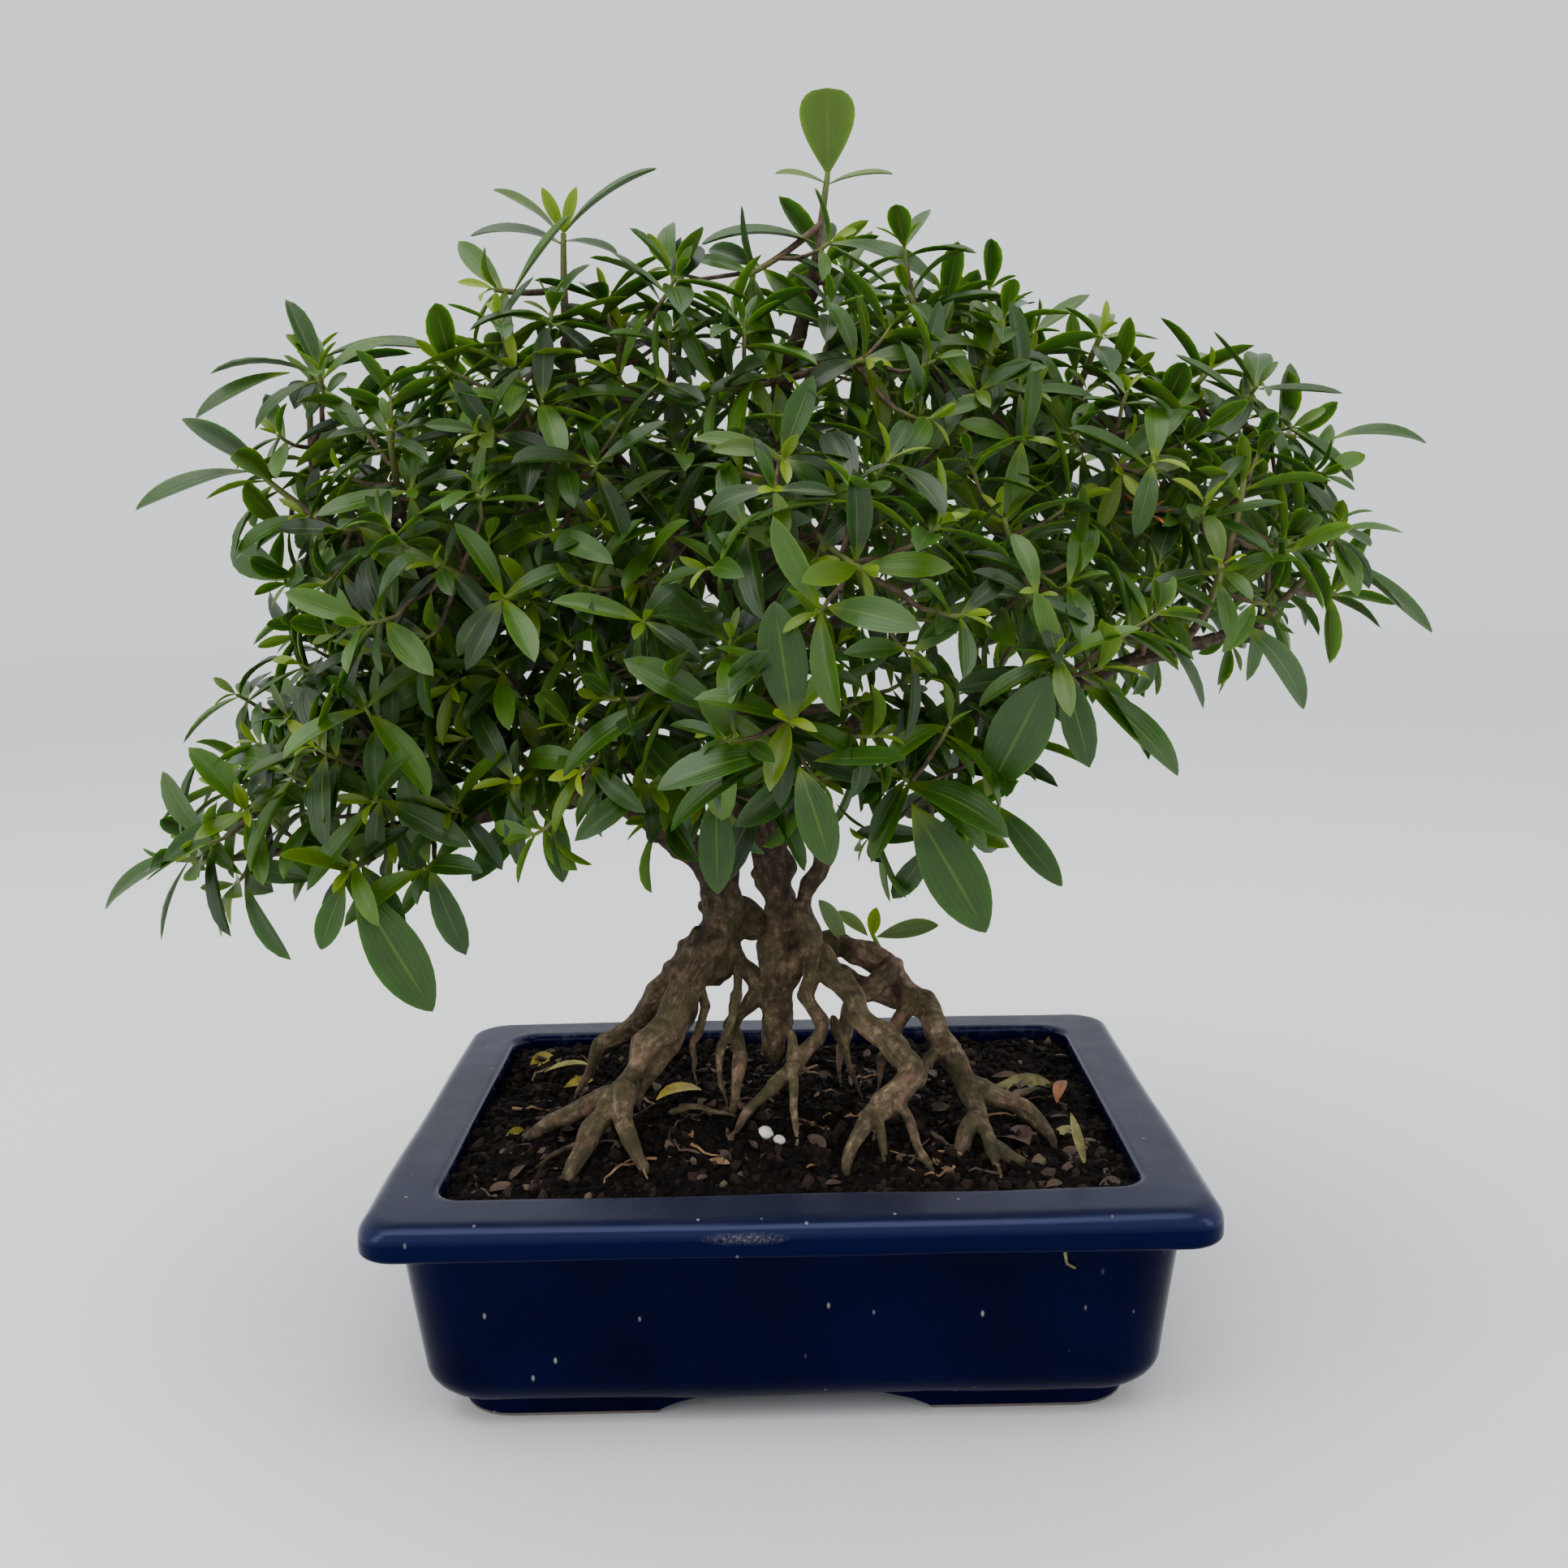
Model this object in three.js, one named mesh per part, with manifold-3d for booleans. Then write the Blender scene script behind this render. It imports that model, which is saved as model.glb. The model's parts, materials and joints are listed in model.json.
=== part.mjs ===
// A small bonsai, with its roots exposed over the soil, in a glazed rectangular pot.
// Millimetres, +Z up. X runs along the pot's long side and -Y is the front.
// The origin is under the middle of the whole tree, on the surface that the pot's feet stand on.

import * as THREE from 'three';
import { mergeVertices } from 'three/addons/utils/BufferGeometryUtils.js';
import Module from 'manifold-3d';

const wasm = await Module();
wasm.setup();

// ---- Sizes ----

// Pot, over the outside of its rim
const potLength = 200;
const potDepth = 150;
const potHeight = 56;
const rimWidth = 16;
const rimThickness = 9;
const rimOverhang = 7;
const rimNoseRadius = 4.5;
const rimCornerRadius = 9;
const bodyCornerRadius = 13;
const bodyTaper = 4;
const bottomEdgeRadius = 10;
const floorThickness = 7;
const openingCornerRadius = 8;

// Feet: a low ring under the pot, cut away along the middle of each side
const footHeight = 4.5;
const footInset = 19;
const footWidth = 14;
const footWeb = 0.8;
const frontArchLength = 66;
const sideArchLength = 40;

// Drain holes, each under a square of plastic mesh
const drainDiameter = 14;
const drainSpacing = 90;
const meshSide = 26;
const meshThickness = 1.2;
const meshBars = 3;
const meshBarWidth = 2;

// Soil
const soilBelowRim = 3;
const moundHeight = 9;
const moundCentre = [-10, -20];
const moundSpread = [48, 32];

// Tree, over the tips of its shoots and up from the edge of the soil
const crownLength = 300;
const crownDepth = 220;
const treeHeight = 252;
const woodGirth = 0.82;

// Shoots and leaves
const twigRadius = 1.3;
const tipRadius = 0.8;
const leafLength = 24;
const leafWidth = 8.5;
const leafThickness = 0.9;
const leafFold = 1.2;
const leafDroop = 2.5;

// Room left between pieces that touch
const gap = 0.3;

// The sizes that the hand-drawn routes below were drawn for
const drawnOpening = [168, 118];
const drawnCrown = [300, 220, 252];
const drawnRootHeight = 45;

const up = new THREE.Vector3(0, 0, 1);
const soilLevel = potHeight - soilBelowRim;
const floorTop = footHeight + floorThickness;

// ---- Materials ----

function paint(color, roughness, metalness = 0) {
  return new THREE.MeshStandardMaterial({ color, roughness, metalness });
}

const materials = {
  glaze: paint('#0e1f4f', 0.15),
  soil: paint('#241d18', 0.95),
  bark: paint('#6d6254', 0.85),
  leaf: paint('#2c5224', 0.4),
  yellowLeaf: paint('#c2a93c', 0.6),
  greenLeaf: paint('#8b9b3a', 0.6),
  orangeLeaf: paint('#b5682a', 0.6),
  brownLeaf: paint('#6e4a2c', 0.8),
  pellet: paint('#e6e2d8', 0.8),
  plasticMesh: paint('#20201f', 0.6),
};

// ---- Solids ----

function toSolid(geometry) {
  const bare = geometry.clone();
  bare.deleteAttribute('normal');
  bare.deleteAttribute('uv');
  const merged = mergeVertices(bare, 1e-4);
  const vertProperties = Float32Array.from(merged.getAttribute('position').array);
  const triVerts = Uint32Array.from(merged.index.array);
  return new wasm.Manifold(new wasm.Mesh({ numProp: 3, vertProperties, triVerts }));
}

function toGeometry(solid) {
  const { vertProperties, triVerts } = solid.getMesh();
  const geometry = new THREE.BufferGeometry();
  geometry.setAttribute('position', new THREE.BufferAttribute(vertProperties, 3));
  geometry.setIndex(new THREE.BufferAttribute(triVerts, 1));
  geometry.computeVertexNormals();
  return geometry;
}

function join(solids) {
  return solids.reduce((whole, solid) => whole.add(solid));
}

// A closed skin over rings of equal count. Each ring turns anticlockwise about the way it is going.
function loft(rings) {
  const sides = rings[0].length;
  const points = rings.flat();
  const index = [];
  for (let ring = 0; ring < rings.length - 1; ring += 1) {
    for (let side = 0; side < sides; side += 1) {
      const a = ring * sides + side;
      const b = ring * sides + (side + 1) % sides;
      index.push(a, b, b + sides);
      index.push(a, b + sides, a + sides);
    }
  }
  const last = (rings.length - 1) * sides;
  const startCentre = points.length;
  const endCentre = startCentre + 1;
  points.push(middleOf(rings[0]), middleOf(rings.at(-1)));
  for (let side = 0; side < sides; side += 1) {
    const next = (side + 1) % sides;
    index.push(startCentre, next, side);
    index.push(endCentre, last + side, last + next);
  }
  const geometry = new THREE.BufferGeometry().setFromPoints(points);
  geometry.setIndex(index);
  return toSolid(geometry);
}

function middleOf(points) {
  const sum = points.reduce((total, point) => total.add(point), new THREE.Vector3());
  return sum.divideScalar(points.length);
}

// A level ring with rounded corners, anticlockwise from above.
function roundedRing(halfLength, halfDepth, radius, z, cornerSteps = 4) {
  const corners = [[1, 1], [-1, 1], [-1, -1], [1, -1]];
  return corners.flatMap(([sx, sy], quarter) => {
    const cx = sx * (halfLength - radius);
    const cy = sy * (halfDepth - radius);
    return Array.from({ length: cornerSteps + 1 }, (_, step) => {
      const angle = (quarter + step / cornerSteps) * Math.PI / 2;
      return new THREE.Vector3(cx + radius * Math.cos(angle), cy + radius * Math.sin(angle), z);
    });
  });
}

// A round, tapered tube along a route of [x, y, z, radius], with blunt ends.
function tube(route, sides, extra = 0, stepsPerPoint = 2) {
  const curve = curveOf(route);
  const steps = (route.length - 1) * stepsPerPoint;
  const rings = [];
  let across = new THREE.Vector3(1, 0, 0);
  if (Math.abs(curve.getTangent(0).x) > 0.8) across = new THREE.Vector3(0, 1, 0);
  const addRing = (centre, along, radius) => {
    across = across.clone().addScaledVector(along, -across.dot(along)).normalize();
    const other = along.clone().cross(across);
    rings.push(Array.from({ length: sides }, (_, side) => {
      const angle = side / sides * 2 * Math.PI;
      return centre.clone()
        .addScaledVector(across, radius * Math.cos(angle))
        .addScaledVector(other, radius * Math.sin(angle));
    }));
  };
  for (let step = 0; step <= steps; step += 1) {
    const t = step / steps;
    const centre = curve.getPoint(t);
    const along = curve.getTangent(t);
    const radius = radiusAt(route, t) + extra;
    const blunt = 0.6 * radius;
    if (step === 0) addRing(centre.clone().addScaledVector(along, -blunt), along, blunt);
    addRing(centre, along, radius);
    if (step === steps) addRing(centre.clone().addScaledVector(along, blunt), along, blunt);
  }
  return loft(rings);
}

function curveOf(route) {
  const points = route.map(([x, y, z]) => new THREE.Vector3(x, y, z));
  return new THREE.CatmullRomCurve3(points, false, 'centripetal');
}

function radiusAt(route, t) {
  const place = t * (route.length - 1);
  const before = Math.min(Math.floor(place), route.length - 2);
  return THREE.MathUtils.lerp(route[before][3], route[before + 1][3], place - before);
}

function vertical(radius, bottom, top, x, y) {
  const geometry = new THREE.CylinderGeometry(radius, radius, top - bottom, 24);
  geometry.rotateX(Math.PI / 2);
  geometry.translate(x, y, (bottom + top) / 2);
  return toSolid(geometry);
}

function block(lengthX, lengthY, bottom, top, x, y) {
  const geometry = new THREE.BoxGeometry(lengthX, lengthY, top - bottom);
  geometry.translate(x, y, (bottom + top) / 2);
  return toSolid(geometry);
}

// ---- Pot ----

function potRing(inset, z, radius) {
  return roundedRing(potLength / 2 - inset, potDepth / 2 - inset, radius, z);
}

function quarterTurn(steps) {
  return Array.from({ length: steps + 1 }, (_, step) => step / steps * Math.PI / 2);
}

// How far the inside wall stands in from the rim's outer edge at a height.
function insideInset(z) {
  const share = (z - floorTop) / (potHeight - floorTop);
  return rimWidth + bodyTaper * (1 - share);
}

function makePot() {
  const rings = [];
  const rimUnderside = potHeight - rimThickness;
  const lipRadius = 1.5;
  for (const angle of quarterTurn(4)) {
    const inset = rimOverhang + bodyTaper + bottomEdgeRadius * (1 - Math.sin(angle));
    const z = footHeight + bottomEdgeRadius * (1 - Math.cos(angle));
    rings.push(potRing(inset, z, bodyCornerRadius));
  }
  rings.push(potRing(rimOverhang, rimUnderside, bodyCornerRadius));
  rings.push(potRing(lipRadius, rimUnderside, rimCornerRadius));
  for (const angle of quarterTurn(4)) {
    const inset = rimNoseRadius * (1 - Math.cos(angle));
    const z = potHeight - rimNoseRadius * (1 - Math.sin(angle));
    rings.push(potRing(inset, z, rimCornerRadius));
  }
  rings.push(potRing(rimWidth - lipRadius, potHeight, openingCornerRadius + lipRadius));
  rings.push(potRing(insideInset(potHeight - lipRadius), potHeight - lipRadius, openingCornerRadius));
  rings.push(potRing(insideInset(floorTop), floorTop, openingCornerRadius));
  const drains = [-1, 1].map((side) => {
    return vertical(drainDiameter / 2, -1, floorTop + 1, side * drainSpacing / 2, 0);
  });
  return loft(rings).add(makeFeet()).subtract(join(drains));
}

function makeFeet() {
  const foot = (inset, bottom, top, radius) => {
    return loft([potRing(inset, bottom, radius), potRing(inset, top, radius)]);
  };
  const top = footHeight + 2;
  const ring = foot(footInset, 0, top, bodyCornerRadius)
    .subtract(foot(footInset + footWidth, -1, footHeight, openingCornerRadius));
  const archTop = footHeight - footWeb;
  const frontArch = block(frontArchLength, potDepth, -1, archTop, 0, 0);
  const sideArch = block(potLength, sideArchLength, -1, archTop, 0, 0);
  return ring.subtract(frontArch).subtract(sideArch);
}

function makeDrainMesh(side) {
  const centre = side * drainSpacing / 2;
  const pitch = (meshSide - meshBarWidth) / (meshBars - 1);
  const bottom = floorTop + gap;
  const top = bottom + meshThickness;
  const bars = Array.from({ length: meshBars }, (_, bar) => {
    const offset = bar * pitch - (meshSide - meshBarWidth) / 2;
    const alongY = block(meshBarWidth, meshSide, bottom, top, centre + offset, 0);
    const alongX = block(meshSide, meshBarWidth, bottom, top, centre, offset);
    return alongY.add(alongX);
  });
  return join(bars);
}

// ---- Soil ----

function soilHeight(x, y) {
  const dx = (x - moundCentre[0]) / moundSpread[0];
  const dy = (y - moundCentre[1]) / moundSpread[1];
  return soilLevel + moundHeight * Math.exp(-dx * dx - dy * dy);
}

function makeSoil(wood) {
  const bottom = floorTop + gap;
  const edge = potRing(insideInset(soilLevel) + gap, soilLevel, openingCornerRadius);
  const rings = [potRing(insideInset(bottom) + gap, bottom, openingCornerRadius), edge];
  const top = new THREE.Vector3(...moundCentre, 0);
  for (const share of [0.1, 0.25, 0.4, 0.55, 0.7, 0.82, 0.92]) {
    rings.push(edge.map((point) => {
      const inner = point.clone().lerp(top, share);
      inner.z = THREE.MathUtils.lerp(soilLevel, soilHeight(inner.x, inner.y), Math.min(1, share * 4));
      return inner;
    }));
  }
  const pockets = [-1, 1].map((side) => {
    const width = meshSide + 2 * gap;
    return block(width, width, 0, floorTop + meshThickness + 2 * gap, side * drainSpacing / 2, 0);
  });
  return loft(rings).subtract(join(pockets)).subtract(wood);
}

// ---- Trunk and roots ----

// Routes are [x, y, height over the soil's edge, radius], drawn for the sizes named above.

const trunkRoutes = {
  mainTrunk: [[-4, -6, 19, 4.5], [-2, -3, 40, 6], [-1, -2, 56, 4.8], [-3, -1, 70, 6.2],
    [-5, 0, 83, 5.4], [-6, 2, 96, 5.2], [-4, 4, 117, 5], [-1, 4, 143, 4.5], [4, 2, 170, 4]],
  leftTrunk: [[-20, 0, 40, 6.5], [-17, 0, 58, 7], [-22, 0, 70, 6], [-30, -2, 78, 5.5], [-38, -5, 85, 5]],
  thinStem: [[-15, 0, 57, 2.6], [-12, 0, 80, 2.6], [-12, 4, 97, 2.6]],
  rightStem: [[0, -4, 40, 4.5], [7, -8, 48, 4], [5, -8, 60, 3.2], [10, -8, 70, 3], [8, -8, 84, 3],
    [11, -8, 97, 3], [21, -14, 110, 3]],
};

const rootRoutes = {
  backLeft: [[-20, 1, 50, 5], [-31, 8, 36, 4.2], [-41, 14, 22, 4], [-54, 17, 12, 3.2], [-61, 10, -3, 2.2]],
  frontLeft: [[-20, -2, 48, 6.5], [-25, -7, 41, 6], [-37, -17, 23, 5], [-45, -26, 15, 4.4]],
  frontLeftOuter: [[-45, -26, 15, 3.4], [-56, -25, 10, 3], [-65, -22, 5, 2.6], [-71, -20, -4, 2]],
  frontLeftFore: [[-45, -26, 15, 3.6], [-49, -38, 10, 3], [-53, -46, 5, 3], [-57, -51, -3, 2.2]],
  frontLeftInner: [[-42, -26, 17, 3.4], [-41, -39, 10, 2.8], [-36, -45, 5, 2.6], [-32, -49, -3, 1.8]],
  leftBrace: [[-22, 0, 44, 4], [-27, -1, 31, 3.6], [-32, -9, 19, 3.2], [-41, -19, 10, 3]],
  rightElbow: [[9, -8, 46, 3.8], [18, -18, 34, 3.7], [30, -28, 23, 4.2], [27, -35, 17, 4],
    [17, -42, 10, 3.5], [12, -51, -3, 2.8]],
  rightArch: [[-1, 2, 44, 5], [6, 12, 44, 4.2], [24, 13, 39, 4], [36, 5, 28, 4.1], [45, -8, 15, 4.2],
    [48, -22, 8, 3.8], [50, -36, 4, 3], [52, -51, -4, 2]],
  rightArchInner: [[48, -26, 7, 2.8], [42, -36, 4, 2.4], [35, -38, -4, 1.8]],
  rightArchOuter: [[50, -35, 4, 2.6], [57, -41, 1, 2], [62, -43, -4, 1.8]],
  rightReach: [[46, -12, 12, 3.6], [57, -18, 8, 3], [65, -20, 4, 2.8], [69, -29, -4, 2.2]],
  thinFront: [[8, -9, 46, 2.8], [5, -14, 37, 2.6], [9, -19, 28, 2.5], [-2, -28, 19, 2.5],
    [-16, -36, 4, 2.2]],
  hair: [[-2, -7, 29, 1.8], [1, -18, 27, 1.6], [1, -31, 18, 1.5], [1, -42, 0, 1.4]],
  middleBrace: [[-5, -2, 38, 3], [-14, -5, 26, 2.7], [-13, -15, 18, 2.5], [-16, -29, 4, 2.3]],
  strut: [[-15, 0, 47, 3.2], [-11, -2, 40, 3], [-4, -4, 30, 3]],
  bridge: [[-19, 2, 57, 5], [-9, 4, 52, 5.5], [0, 1, 47, 5]],
  rearLeft: [[-8, 4, 50, 5], [-14, 20, 33, 4.5], [-24, 36, 17, 4], [-31, 48, -4, 3]],
  rearRight: [[1, 3, 46, 4], [12, 26, 30, 3.8], [20, 40, 14, 3.4], [25, 50, -4, 2.6]],
};

// ---- Limbs ----

const limbRoutes = {
  low_left: [[-38, -5, 85, 3.8], [-46, -9, 90, 4.5], [-65, -14, 90, 4], [-92, -20, 84, 3],
    [-112, -24, 84, 2.2]],
  upper_left: [[-12, 4, 97, 1.8], [-22, 0, 110, 3.2], [-38, -4, 127, 3.4], [-60, -10, 144, 3],
    [-88, -14, 148, 2.4], [-106, -14, 158, 1.8]],
  top_left: [[-3, 4, 128, 3.2], [-18, 2, 146, 3], [-36, 0, 168, 2.8], [-50, -4, 190, 2.4],
    [-54, -2, 208, 1.8]],
  centre: [[4, 2, 170, 3], [0, -6, 186, 3.2], [6, -6, 206, 2.6], [12, -2, 228, 1.8]],
  upper_right: [[-1, 4, 146, 3.4], [18, 8, 160, 3.2], [46, 6, 176, 2.8], [78, 4, 184, 2.4],
    [106, 6, 184, 1.8]],
  right: [[21, -14, 110, 2], [42, -24, 110, 3], [64, -32, 116, 2.8], [92, -32, 126, 2.4],
    [124, -12, 130, 1.8]],
  front: [[-4, 1, 108, 3], [-8, -18, 114, 2.8], [-4, -40, 116, 2.4], [4, -62, 118, 1.8]],
  rear_left: [[-6, 3, 106, 3], [-22, 28, 116, 2.8], [-44, 52, 130, 2.4], [-62, 72, 138, 1.8]],
  rear_right: [[-3, 5, 122, 3], [20, 32, 134, 2.8], [48, 52, 144, 2.4], [76, 62, 146, 1.8]],
  rear: [[0, 4, 154, 3], [2, 30, 166, 2.6], [2, 54, 172, 2.2], [4, 76, 172, 1.8]],
};

// Each shoot leaves its limb at a share of the way along and ends in one or more leafy tips.
const shoots = {
  low_left: [
    [0.98, [[-150, -34, 80], [-140, -8, 98], [-128, -46, 94]]],
    [0.8, [[-103, -48, 80], [-98, -30, 108]]],
    [0.86, [[-124, 30, 94], [-132, 4, 114], [-112, 18, 126]]],
    [0.5, [[-74, -28, 100], [-52, -36, 108]]],
    [0.62, [[-72, -14, 122], [-100, -8, 126]]],
  ],
  upper_left: [
    [0.98, [[-132, -8, 174], [-120, -4, 204]]],
    [0.85, [[-92, -38, 184], [-106, -34, 160]]],
    [0.7, [[-108, 24, 164]]],
    [0.6, [[-78, -56, 152], [-84, -28, 130]]],
    [0.4, [[-50, -44, 176], [-62, -34, 198]]],
    [0.5, [[-64, -36, 118], [-40, -14, 108]]],
  ],
  top_left: [
    [0.98, [[-54, 0, 236], [-70, -14, 220]]],
    [0.7, [[-38, -20, 208], [-24, -24, 190]]],
    [0.6, [[-80, 24, 202], [-72, 34, 180]]],
  ],
  centre: [
    [0.98, [[15, 0, 257], [-6, -16, 222]]],
    [0.6, [[22, -38, 198], [-14, -42, 192]]],
    [0.35, [[2, -68, 174], [18, -84, 150]]],
    [0.25, [[-22, -26, 166], [-32, -50, 146]]],
  ],
  upper_right: [
    [0.5, [[46, 18, 220], [68, 22, 206]]],
    [0.4, [[54, -26, 200], [34, -20, 216]]],
    [0.98, [[116, 8, 198], [140, 10, 180]]],
    [0.75, [[84, -8, 206], [84, -34, 170]]],
  ],
  right: [
    [0.75, [[102, -56, 148], [114, -32, 168]]],
    [0.98, [[144, -6, 150], [158, 4, 128]]],
    [0.5, [[60, -80, 130], [52, -56, 160]]],
    [0.25, [[42, -44, 88], [28, -66, 102]]],
    [0.35, [[44, -6, 142], [66, -10, 134]]],
  ],
  front: [
    [0.98, [[2, -84, 118], [-26, -66, 126]]],
    [0.5, [[-18, -50, 96]]],
    [0.3, [[-36, -44, 126], [-46, -58, 104]]],
  ],
  rear_left: [
    [0.98, [[-62, 96, 130], [-88, 68, 158]]],
    [0.6, [[-44, 72, 152], [-18, 60, 120]]],
  ],
  rear_right: [
    [0.98, [[100, 62, 152], [78, 92, 126]]],
    [0.6, [[48, 70, 172]]],
    [0.8, [[110, 44, 122], [124, 34, 146]]],
  ],
  rear: [
    [0.98, [[6, 98, 160], [12, 108, 126]]],
    [0.6, [[-28, 84, 188]]],
    [0.35, [[26, 60, 206]]],
  ],
};

// A young sucker on the root that arches to the right.
const sucker = [0.34, [[20, 22, 44]]];

const crownScale = [
  crownLength / drawnCrown[0],
  crownDepth / drawnCrown[1],
  treeHeight / drawnCrown[2],
];

// Roots keep to the pot's opening at the soil, and meet the trunks at the trunks' own scale.
function rootScale(axis, height) {
  const opening = [potLength, potDepth][axis] - 2 * rimWidth;
  const share = THREE.MathUtils.clamp(height / drawnRootHeight, 0, 1);
  return THREE.MathUtils.lerp(opening / drawnOpening[axis], crownScale[axis], share);
}

function placeRoot([x, y, height, radius]) {
  const rise = height > 0 ? height * crownScale[2] : height;
  return [x * rootScale(0, height), y * rootScale(1, height), soilLevel + rise, radius * woodGirth];
}

function placeCrown([x, y, height, radius = 0]) {
  const z = soilLevel + height * crownScale[2];
  return [x * crownScale[0], y * crownScale[1], z, radius * woodGirth];
}

const placedTrunks = Object.values(trunkRoutes).map((route) => route.map(placeCrownOrRoot));
const placedRoots = Object.values(rootRoutes).map((route) => route.map(placeRoot));

function placeCrownOrRoot(point) {
  return point[2] < drawnRootHeight ? placeRoot(point) : placeCrown(point);
}

function makeTrunkAndRoots(extra = 0) {
  const trunks = placedTrunks.map((route) => tube(route, 7, extra));
  const roots = placedRoots.map((route) => tube(route, 6, extra));
  return join([...trunks, ...roots]);
}

// ---- Clearance ----

// Every finished solid near which something may still grow.
const standing = [];

function boxesMeet(a, b) {
  return [0, 1, 2].every((axis) => a.min[axis] <= b.max[axis] && b.min[axis] <= a.max[axis]);
}

function isClear(solid, except = []) {
  const box = solid.boundingBox();
  return standing.every((other) => {
    if (except.includes(other.solid) || !boxesMeet(box, other.box)) return true;
    const shared = solid.intersect(other.solid);
    const empty = shared.isEmpty();
    shared.delete();
    return empty;
  });
}

function stand(solid) {
  standing.push({ solid, box: solid.boundingBox() });
  return solid;
}

// ---- Leaves ----

// A leaf from its base: its outline, folded up along the midrib, with a top and an underside.
function leaf(base, along, face, size, extra = 0) {
  const length = leafLength * size + 2 * extra;
  const halfWidth = leafWidth * size / 2 + extra;
  const half = leafThickness / 2 + extra;
  const across = face.clone().cross(along).normalize();
  const at = (share, side, rise) => base.clone()
    .addScaledVector(along, length * share - extra)
    .addScaledVector(across, side * halfWidth)
    .addScaledVector(face, rise);
  const fold = leafFold * size;
  const outline = [at(0, 0, 0), at(0.45, -1, fold), at(1, 0, -leafDroop * size), at(0.45, 1, fold)];
  const points = [...outline, at(0.45, 0, half), at(0.45, 0, -half)];
  const [top, underside] = [4, 5];
  const index = [];
  for (let corner = 0; corner < 4; corner += 1) {
    const next = (corner + 1) % 4;
    index.push(top, corner, next);
    index.push(underside, next, corner);
  }
  const geometry = new THREE.BufferGeometry().setFromPoints(points);
  geometry.setIndex(index);
  return toSolid(geometry);
}

// The first size and turn at which a leaf has room, trying its full size first.
function growLeaf(base, stem, out, size, opening) {
  const turns = [0, 15, -15, 30, -30, 45, -45, 60, -60];
  const tries = [1, 0.85, 0.7, 0.5, 0.35].flatMap((shrink) => turns.map((turn) => [shrink, turn]));
  const shapeOf = ([shrink, turn], extra) => {
    const side = out.clone().applyAxisAngle(stem, THREE.MathUtils.degToRad(turn));
    const along = stem.clone().multiplyScalar(Math.cos(opening)).addScaledVector(side, Math.sin(opening));
    const face = stem.clone().multiplyScalar(Math.sin(opening)).addScaledVector(side, -Math.cos(opening));
    return leaf(base, along, face, size * shrink, extra);
  };
  const fits = tries.find((attempt) => isClear(shapeOf(attempt, gap)));
  return shapeOf(fits ?? tries.at(-1), 0);
}

// Crossed pairs of leaves: [distance below the tip, share of full size, opening from the stem]
const leafPairs = [[9, 1, 78], [5, 0.95, 64], [0, 0.6, 35]];

function growTuft(tip, stem) {
  let out = new THREE.Vector3().crossVectors(stem, up);
  if (out.length() < 0.1) out.set(1, 0, 0);
  out.normalize().applyAxisAngle(stem, tip.x + tip.y);
  return leafPairs.flatMap(([below, size, opening]) => {
    out = out.clone().applyAxisAngle(stem, Math.PI / 2);
    const base = tip.clone().addScaledVector(stem, -below);
    const angle = THREE.MathUtils.degToRad(opening);
    return [1, -1].map((side) => {
      return growLeaf(base, stem, out.clone().multiplyScalar(side), size, angle);
    });
  });
}

// The first bend at which a twig from one point to another has room. It may touch what it grows
// from only in its first half.
function growTwig(from, to, thick, thin, parent) {
  const reach = from.distanceTo(to);
  const sides = [[0, 0, -1], [1, 0, 0], [-1, 0, 0], [0, 1, 0], [0, -1, 0], [0, 0, 1]];
  const bends = [0.12, 0.25, 0.4, 0.55].flatMap((amount) => sides.map((side) => [amount, side]));
  const routeOf = ([amount, side]) => {
    const bent = from.clone().lerp(to, 0.5).addScaledVector(new THREE.Vector3(...side), amount * reach);
    return [[...from, thick], [...bent, (thick + thin) / 2], [...to, thin]];
  };
  const hasRoom = (bend) => {
    const route = routeOf(bend);
    return isClear(twigTube(route, gap), parent) && isClear(twigTube(route.slice(1), gap));
  };
  return routeOf(bends.find(hasRoom) ?? bends[0]);
}

function twigTube(route, extra = 0) {
  return tube(route, 4, extra, 1);
}

function growShoot(start, tips, parent, cutter) {
  const pieces = [];
  let from = start;
  let thick = twigRadius;
  let holder = [parent];
  for (const place of tips) {
    const [x, y, z] = placeCrown(place);
    const tip = new THREE.Vector3(x, y, z);
    const route = growTwig(from, tip, thick, tipRadius, holder);
    pieces.push(twigTube(route), ...growTuft(tip, curveOf(route).getTangent(1)));
    from = new THREE.Vector3(...route[1].slice(0, 3));
    thick = (twigRadius + tipRadius) / 2;
    holder = [];
  }
  return join(pieces).subtract(cutter);
}

// ---- Things lying on the soil ----

// Lifts a solid until it, and the gap under it, are clear of all that it lies on.
function settle(solid) {
  let lying = solid;
  let lifted = lying.translate([0, 0, gap]);
  while (!isClear(lying) || !isClear(lifted)) {
    lying = lifted;
    lifted = lying.translate([0, 0, gap]);
  }
  return stand(lifted);
}

// A place on the soil, as shares of the way from the middle to the opening's edge.
function onSoil(shareX, shareY) {
  const x = shareX * (potLength / 2 - rimWidth);
  const y = shareY * (potDepth / 2 - rimWidth);
  return new THREE.Vector3(x, y, soilHeight(x, y));
}

function fallenLeaf([shareX, shareY], heading, size) {
  const along = new THREE.Vector3(Math.cos(heading), Math.sin(heading), 0);
  return settle(leaf(onSoil(shareX, shareY), along, up, size));
}

function pellet([shareX, shareY], radius) {
  const geometry = new THREE.IcosahedronGeometry(radius, 1);
  geometry.scale(1, 0.8, 0.7);
  geometry.translate(...onSoil(shareX, shareY));
  return settle(toSolid(geometry));
}

// ---- Assembly ----

const model = new THREE.Group();
const potGroup = new THREE.Group();
const soilGroup = new THREE.Group();
const treeGroup = new THREE.Group();
model.add(potGroup, soilGroup, treeGroup);

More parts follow.
